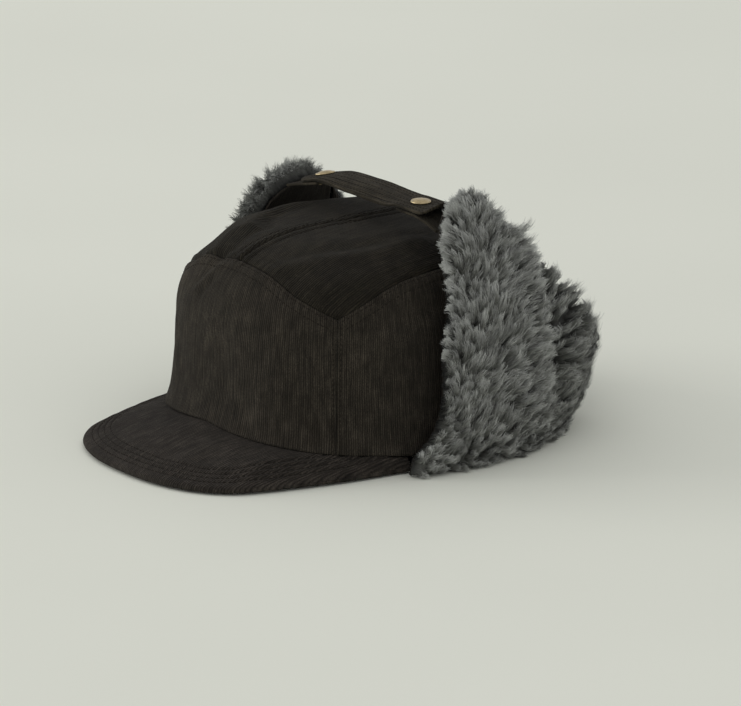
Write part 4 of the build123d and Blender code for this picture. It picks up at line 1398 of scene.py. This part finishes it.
# ---------------------------------------------------------------------------
# Strap, tabs and snaps
# ---------------------------------------------------------------------------
STRAP_ENDS = (-58.0, 68.5)
strap_z = table(
    [-58.0, -52.0, -44.0, -37.0, -34.5, -28.0, -14.0, 0.0, 13.0, 26.0, 38.0, 45.4, 53.0, 60.0, 68.5],
    [130.5, 132.0, 134.0, 135.75, 136.3, 137.2, 138.0, 138.4, 138.1, 137.4, 137.3, 137.3, 137.3, 138.5, 142.6],
)
left_tab_z = table([31.0, 38.0, 45.4, 53.0, 60.0, 66.0, 73.6], [134.42, 134.35, 134.35, 134.35, 133.3, 131.9, 129.6])
right_tab_z = table([-65.2, -58.0, -52.0, -44.0, -37.0, -34.5, -29.0], [125.7, 127.55, 129.05, 131.05, 132.8, 133.35, 134.1])
FAR_TILT = math.atan(0.25)
_arch = table([-58, -40, -26, -8, 14, 30, 38, 52, 60, 68.5], [1.0, 0.6, 2.0, 3.6, 3.6, 2.2, 0.4, 0.4, 1.6, 3.0])


def arch(x, y):
    """The strap's front half rolls down a little between its snaps."""
    k = np.clip((Y0 + STRAP_Y - 1.0 - y) / 11.5, 0, 1)
    back_k = np.clip((y - Y0 - STRAP_Y - 4.0) / 8.5, 0, 1)
    return -_arch(x) * k**1.7 - 0.28 * _arch(x) * back_k**2


def half_width(x, x0, x1, w, r0, r1):
    h = np.full_like(x, w / 2)
    for xe, r, sg in ((x0, r0, 1), (x1, r1, -1)):
        d = (x - xe) * sg
        if r > 0:
            near = d < r
            h = np.where(near, np.minimum(h, w / 2 - r + np.sqrt(np.maximum(0.0, r * r - (r - d) ** 2))), h)
    return h


def strip_cloth(name, x0, x1, w, z_of, t, r0, r1, body, node, rows, seed):
    n = 220
    x = x0 + (x1 - x0) * (0.5 - 0.5 * np.cos(np.pi * np.arange(n) / (n - 1)))
    hw = np.maximum(0.6, half_width(x, x0, x1, w, r0, r1))
    m = 41
    k = np.sin(np.linspace(-math.pi / 2, math.pi / 2, m))
    X = x[:, None] * np.ones(m)
    Y = Y0 + STRAP_Y + hw[:, None] * k[None, :]
    Z = z_of(x)[:, None] * np.ones(m)
    arched = arch(X, Y) if body == "strap" and "strap_cloth" in name else 0.0 * X
    Z = Z + arched
    mid = np.stack([X, Y, Z - t / 2], -1)
    to_end = np.minimum(np.abs(X - x0), np.abs(x1 - X))
    edge = np.minimum(hw[:, None] - np.abs(Y - Y0 - STRAP_Y), to_end + 0.001)
    e = np.sqrt(np.clip(1 - (1 - np.clip(edge / 1.0, 0, 1)) ** 2, 0, 1))
    groove = 0
    for r in rows:
        groove = groove - 0.26 * bell(np.abs(Y - Y0 - STRAP_Y) - r, 0.5)
    flat = np.clip((np.minimum(np.abs(X - SNAP_X_LEFT), np.abs(X - SNAP_X_RIGHT)) - 6) / 6, 0, 1)
    wav = (0.35 * noise3(mid, 16.0, seed) + 0.15 * noise3(mid, 7.0, seed + 1)) * flat
    hi, lo = mid.copy(), mid.copy()
    hi[..., 2] += t / 2 * (0.15 + 0.85 * e) + groove * e + wav * 0.5
    lo[..., 2] -= t / 2 * (0.15 + 0.85 * e) + groove * 0.7 * e - wav * 0.5
    uv = np.stack([Y, X], -1)
    v, f, uu = closed(lo, hi, uv)
    f = f[:, ::-1]
    ob = mesh_object(name, v, f, CORDUROY_STRAP, body, uv=uu)
    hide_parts(node)
    paths, normals = [], []
    for r in rows:
        for sg in (1, -1):
            if r == 0 and sg < 0:
                continue
            keep = (hw > r + 1.2) & (to_end[:, 0] > 3.0)
            if keep.sum() < 4:
                continue
            xs = x[keep]
            yy = np.full_like(xs, Y0 + STRAP_Y + sg * r)
            add = arch(xs, yy) if body == "strap" and "strap_cloth" in name else 0.0
            pm = np.stack([xs, yy, z_of(xs) - t / 2 + add], -1)
            fl = np.clip((np.minimum(np.abs(xs - SNAP_X_LEFT), np.abs(xs - SNAP_X_RIGHT)) - 6) / 6, 0, 1)
            wv = (0.35 * noise3(pm, 16.0, seed) + 0.15 * noise3(pm, 7.0, seed + 1)) * fl
            pt = pm.copy()
            pt[:, 2] += t / 2 - 0.26 + wv * 0.5
            paths.append(pt)
            normals.append(np.tile([0, 0, 1.0], (len(xs), 1)))
    return ob, paths, normals


ob, ps, ns = strip_cloth("top_strap_cloth", *STRAP_ENDS, STRAP_W, strap_z, STRAP_T, 11.5, 11.5, "strap", "top_strap", (2.6, 6.4, 10.2), 91)
stitch_piece("top_strap_stitch", ps, ns, "strap", THREAD, r=0.24, lift=0.1)
ob, ps, ns = strip_cloth("left_tab_cloth", 31.0, 74.6, TAB_W, left_tab_z, TAB_T, 11.0, 0, "left_ear_flap", "left_flap_tab", (5.0, 9.8), 93)
stitch_piece("left_tab_stitch", ps, ns, "left_ear_flap", THREAD, r=0.24, lift=0.1)
ob, ps, ns = strip_cloth("right_tab_cloth", -65.2, -30.0, TAB_W, right_tab_z, TAB_T, 0, 11.0, "strap", "right_flap_tab", (5.0, 9.8), 95)
stitch_piece("right_tab_stitch", ps, ns, "strap", THREAD, r=0.24, lift=0.1)


def lathe(name, prof, centre, body, mat, n=64, tilt=0.0):
    a = np.linspace(0, 2 * math.pi, n, endpoint=False)
    prof = np.asarray(prof, float)
    gx, gy, gz = prof[:, :1] * np.cos(a), prof[:, :1] * np.sin(a), prof[:, 1:] + 0 * a
    c, sn = math.cos(tilt), math.sin(tilt)
    g = np.stack([centre[0] + gx * c - gz * sn, centre[1] + gy, centre[2] + gx * sn + gz * c], -1)
    v = g.reshape(-1, 3)
    return mesh_object(name, v, quads(len(prof), n, 0, True), mat, body, uv=np.zeros((len(v), 2)))


CAP = [(0.02, 2.05), (0.9, 2.03), (1.8, 1.96), (2.7, 1.82), (3.5, 1.62), (4.15, 1.36), (4.45, 1.12), (4.62, 0.98), (4.85, 0.98),
       (5.1, 1.08), (5.4, 1.06), (5.65, 0.88), (5.8, 0.58), (5.8, 0.32), (5.65, 0.08), (5.3, 0.0), (1.8, 0.0), (1.8, -1.9), (0.02, -1.9)]
for tag, x in (("left", SNAP_X_LEFT), ("right", SNAP_X_RIGHT)):
    pr = np.array(CAP)
    # add extra points along the profile's straight segments
    t = np.arange(len(pr))
    tt = np.linspace(0, len(pr) - 1, 90)
    pr = np.stack([np.interp(tt, t, pr[:, 0]), np.interp(tt, t, pr[:, 1])], 1)
    ob = lathe(f"{tag}_snap_cap_metal", pr[::-1], (x, Y0 + STRAP_Y, float(strap_z(x)) + 0.05), "strap", BRASS, tilt=FAR_TILT if x < 0 else 0.0)
    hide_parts(f"{tag}_snap_cap")

for node in ("left_snap_socket", "left_snap_stud", "left_snap_post", "right_snap_socket", "right_snap_stud", "right_snap_post", "brim_board"):
    ob = bpy.data.objects.get(node)
    if ob is None:
        ob = next(o for o in bpy.data.objects if o.name.startswith(node))
    mat = BOARD if node == "brim_board" else BRASS
    if ob.material_slots:
        for s in ob.material_slots:
            s.material = mat
    else:
        ob.data.materials.append(mat)

# ---------------------------------------------------------------------------
# Stage, light and camera
# ---------------------------------------------------------------------------
def plane(name, size, z, mat):
    s = size / 2
    me = bpy.data.meshes.new(name)
    me.from_pydata([(-s, -s, z), (s, -s, z), (s, s, z), (-s, s, z)], [], [(0, 1, 2, 3)])
    ob = bpy.data.objects.new(name, me)
    bpy.context.scene.collection.objects.link(ob)
    me.materials.append(mat)
    return ob


fm = Mat("floor_paper")
n = fm.noise(3.0, 2.0)
col = fm.ramp(n, [(0.3, srgb(236, 238, 227)), (0.7, srgb(239, 241, 230))])
plane("floor", 14.0, -0.0004, fm.set(Base_Color=col, Roughness=0.95, Specular_IOR_Level=0.1))

world = bpy.data.worlds.new("studio")
bpy.context.scene.world = world
world.use_nodes = True
bg = world.node_tree.nodes["Background"]
bg.inputs["Color"].default_value = (1, 1, 1, 1)
bg.inputs["Strength"].default_value = 0.655


def area(name, loc, target, size, power, colour=(1, 1, 1)):
    L = bpy.data.lights.new(name, "AREA")
    L.shape = "RECTANGLE"
    L.size, L.size_y = size
    L.energy = power
    L.color = colour
    ob = bpy.data.objects.new(name, L)
    bpy.context.scene.collection.objects.link(ob)
    ob.location = loc
    ob.rotation_euler = (Vector(target) - Vector(loc)).to_track_quat("-Z", "Y").to_euler()
    return ob


CENTRE = Vector((0, Y0 * MM, 0.0677))
area("key", (-3.6, -3.2, 1.5), (0, 0, 0.06), (3.2, 2.4), 84, (1.0, 0.99, 0.97))

az, el = math.radians(52.82), math.radians(16.91)
back = Vector((math.sin(az) * math.cos(el), -math.cos(az) * math.cos(el), math.sin(el)))
right = Vector((math.cos(az), math.sin(az), 0))
up = back.cross(right)
cam_data = bpy.data.cameras.new("camera")
cam = bpy.data.objects.new("camera", cam_data)
bpy.context.scene.collection.objects.link(cam)
cam.location = CENTRE + back * 3.87 + right * 0.0104 - up * 0.026
rot = Matrix((right, up, back)).transposed()
cam.rotation_euler = rot.to_euler()
cam_data.sensor_fit = "HORIZONTAL"
cam_data.sensor_width = 36.0
cam_data.lens = 1.763 * 3870 * 36.0 / 741
cam_data.clip_end = 60
cam_data.clip_start = 0.05
bpy.context.scene.camera = cam
bpy.context.scene.view_settings.view_transform = "Standard"
bpy.context.scene.view_settings.look = "None"

bpy.context.view_layer.update()
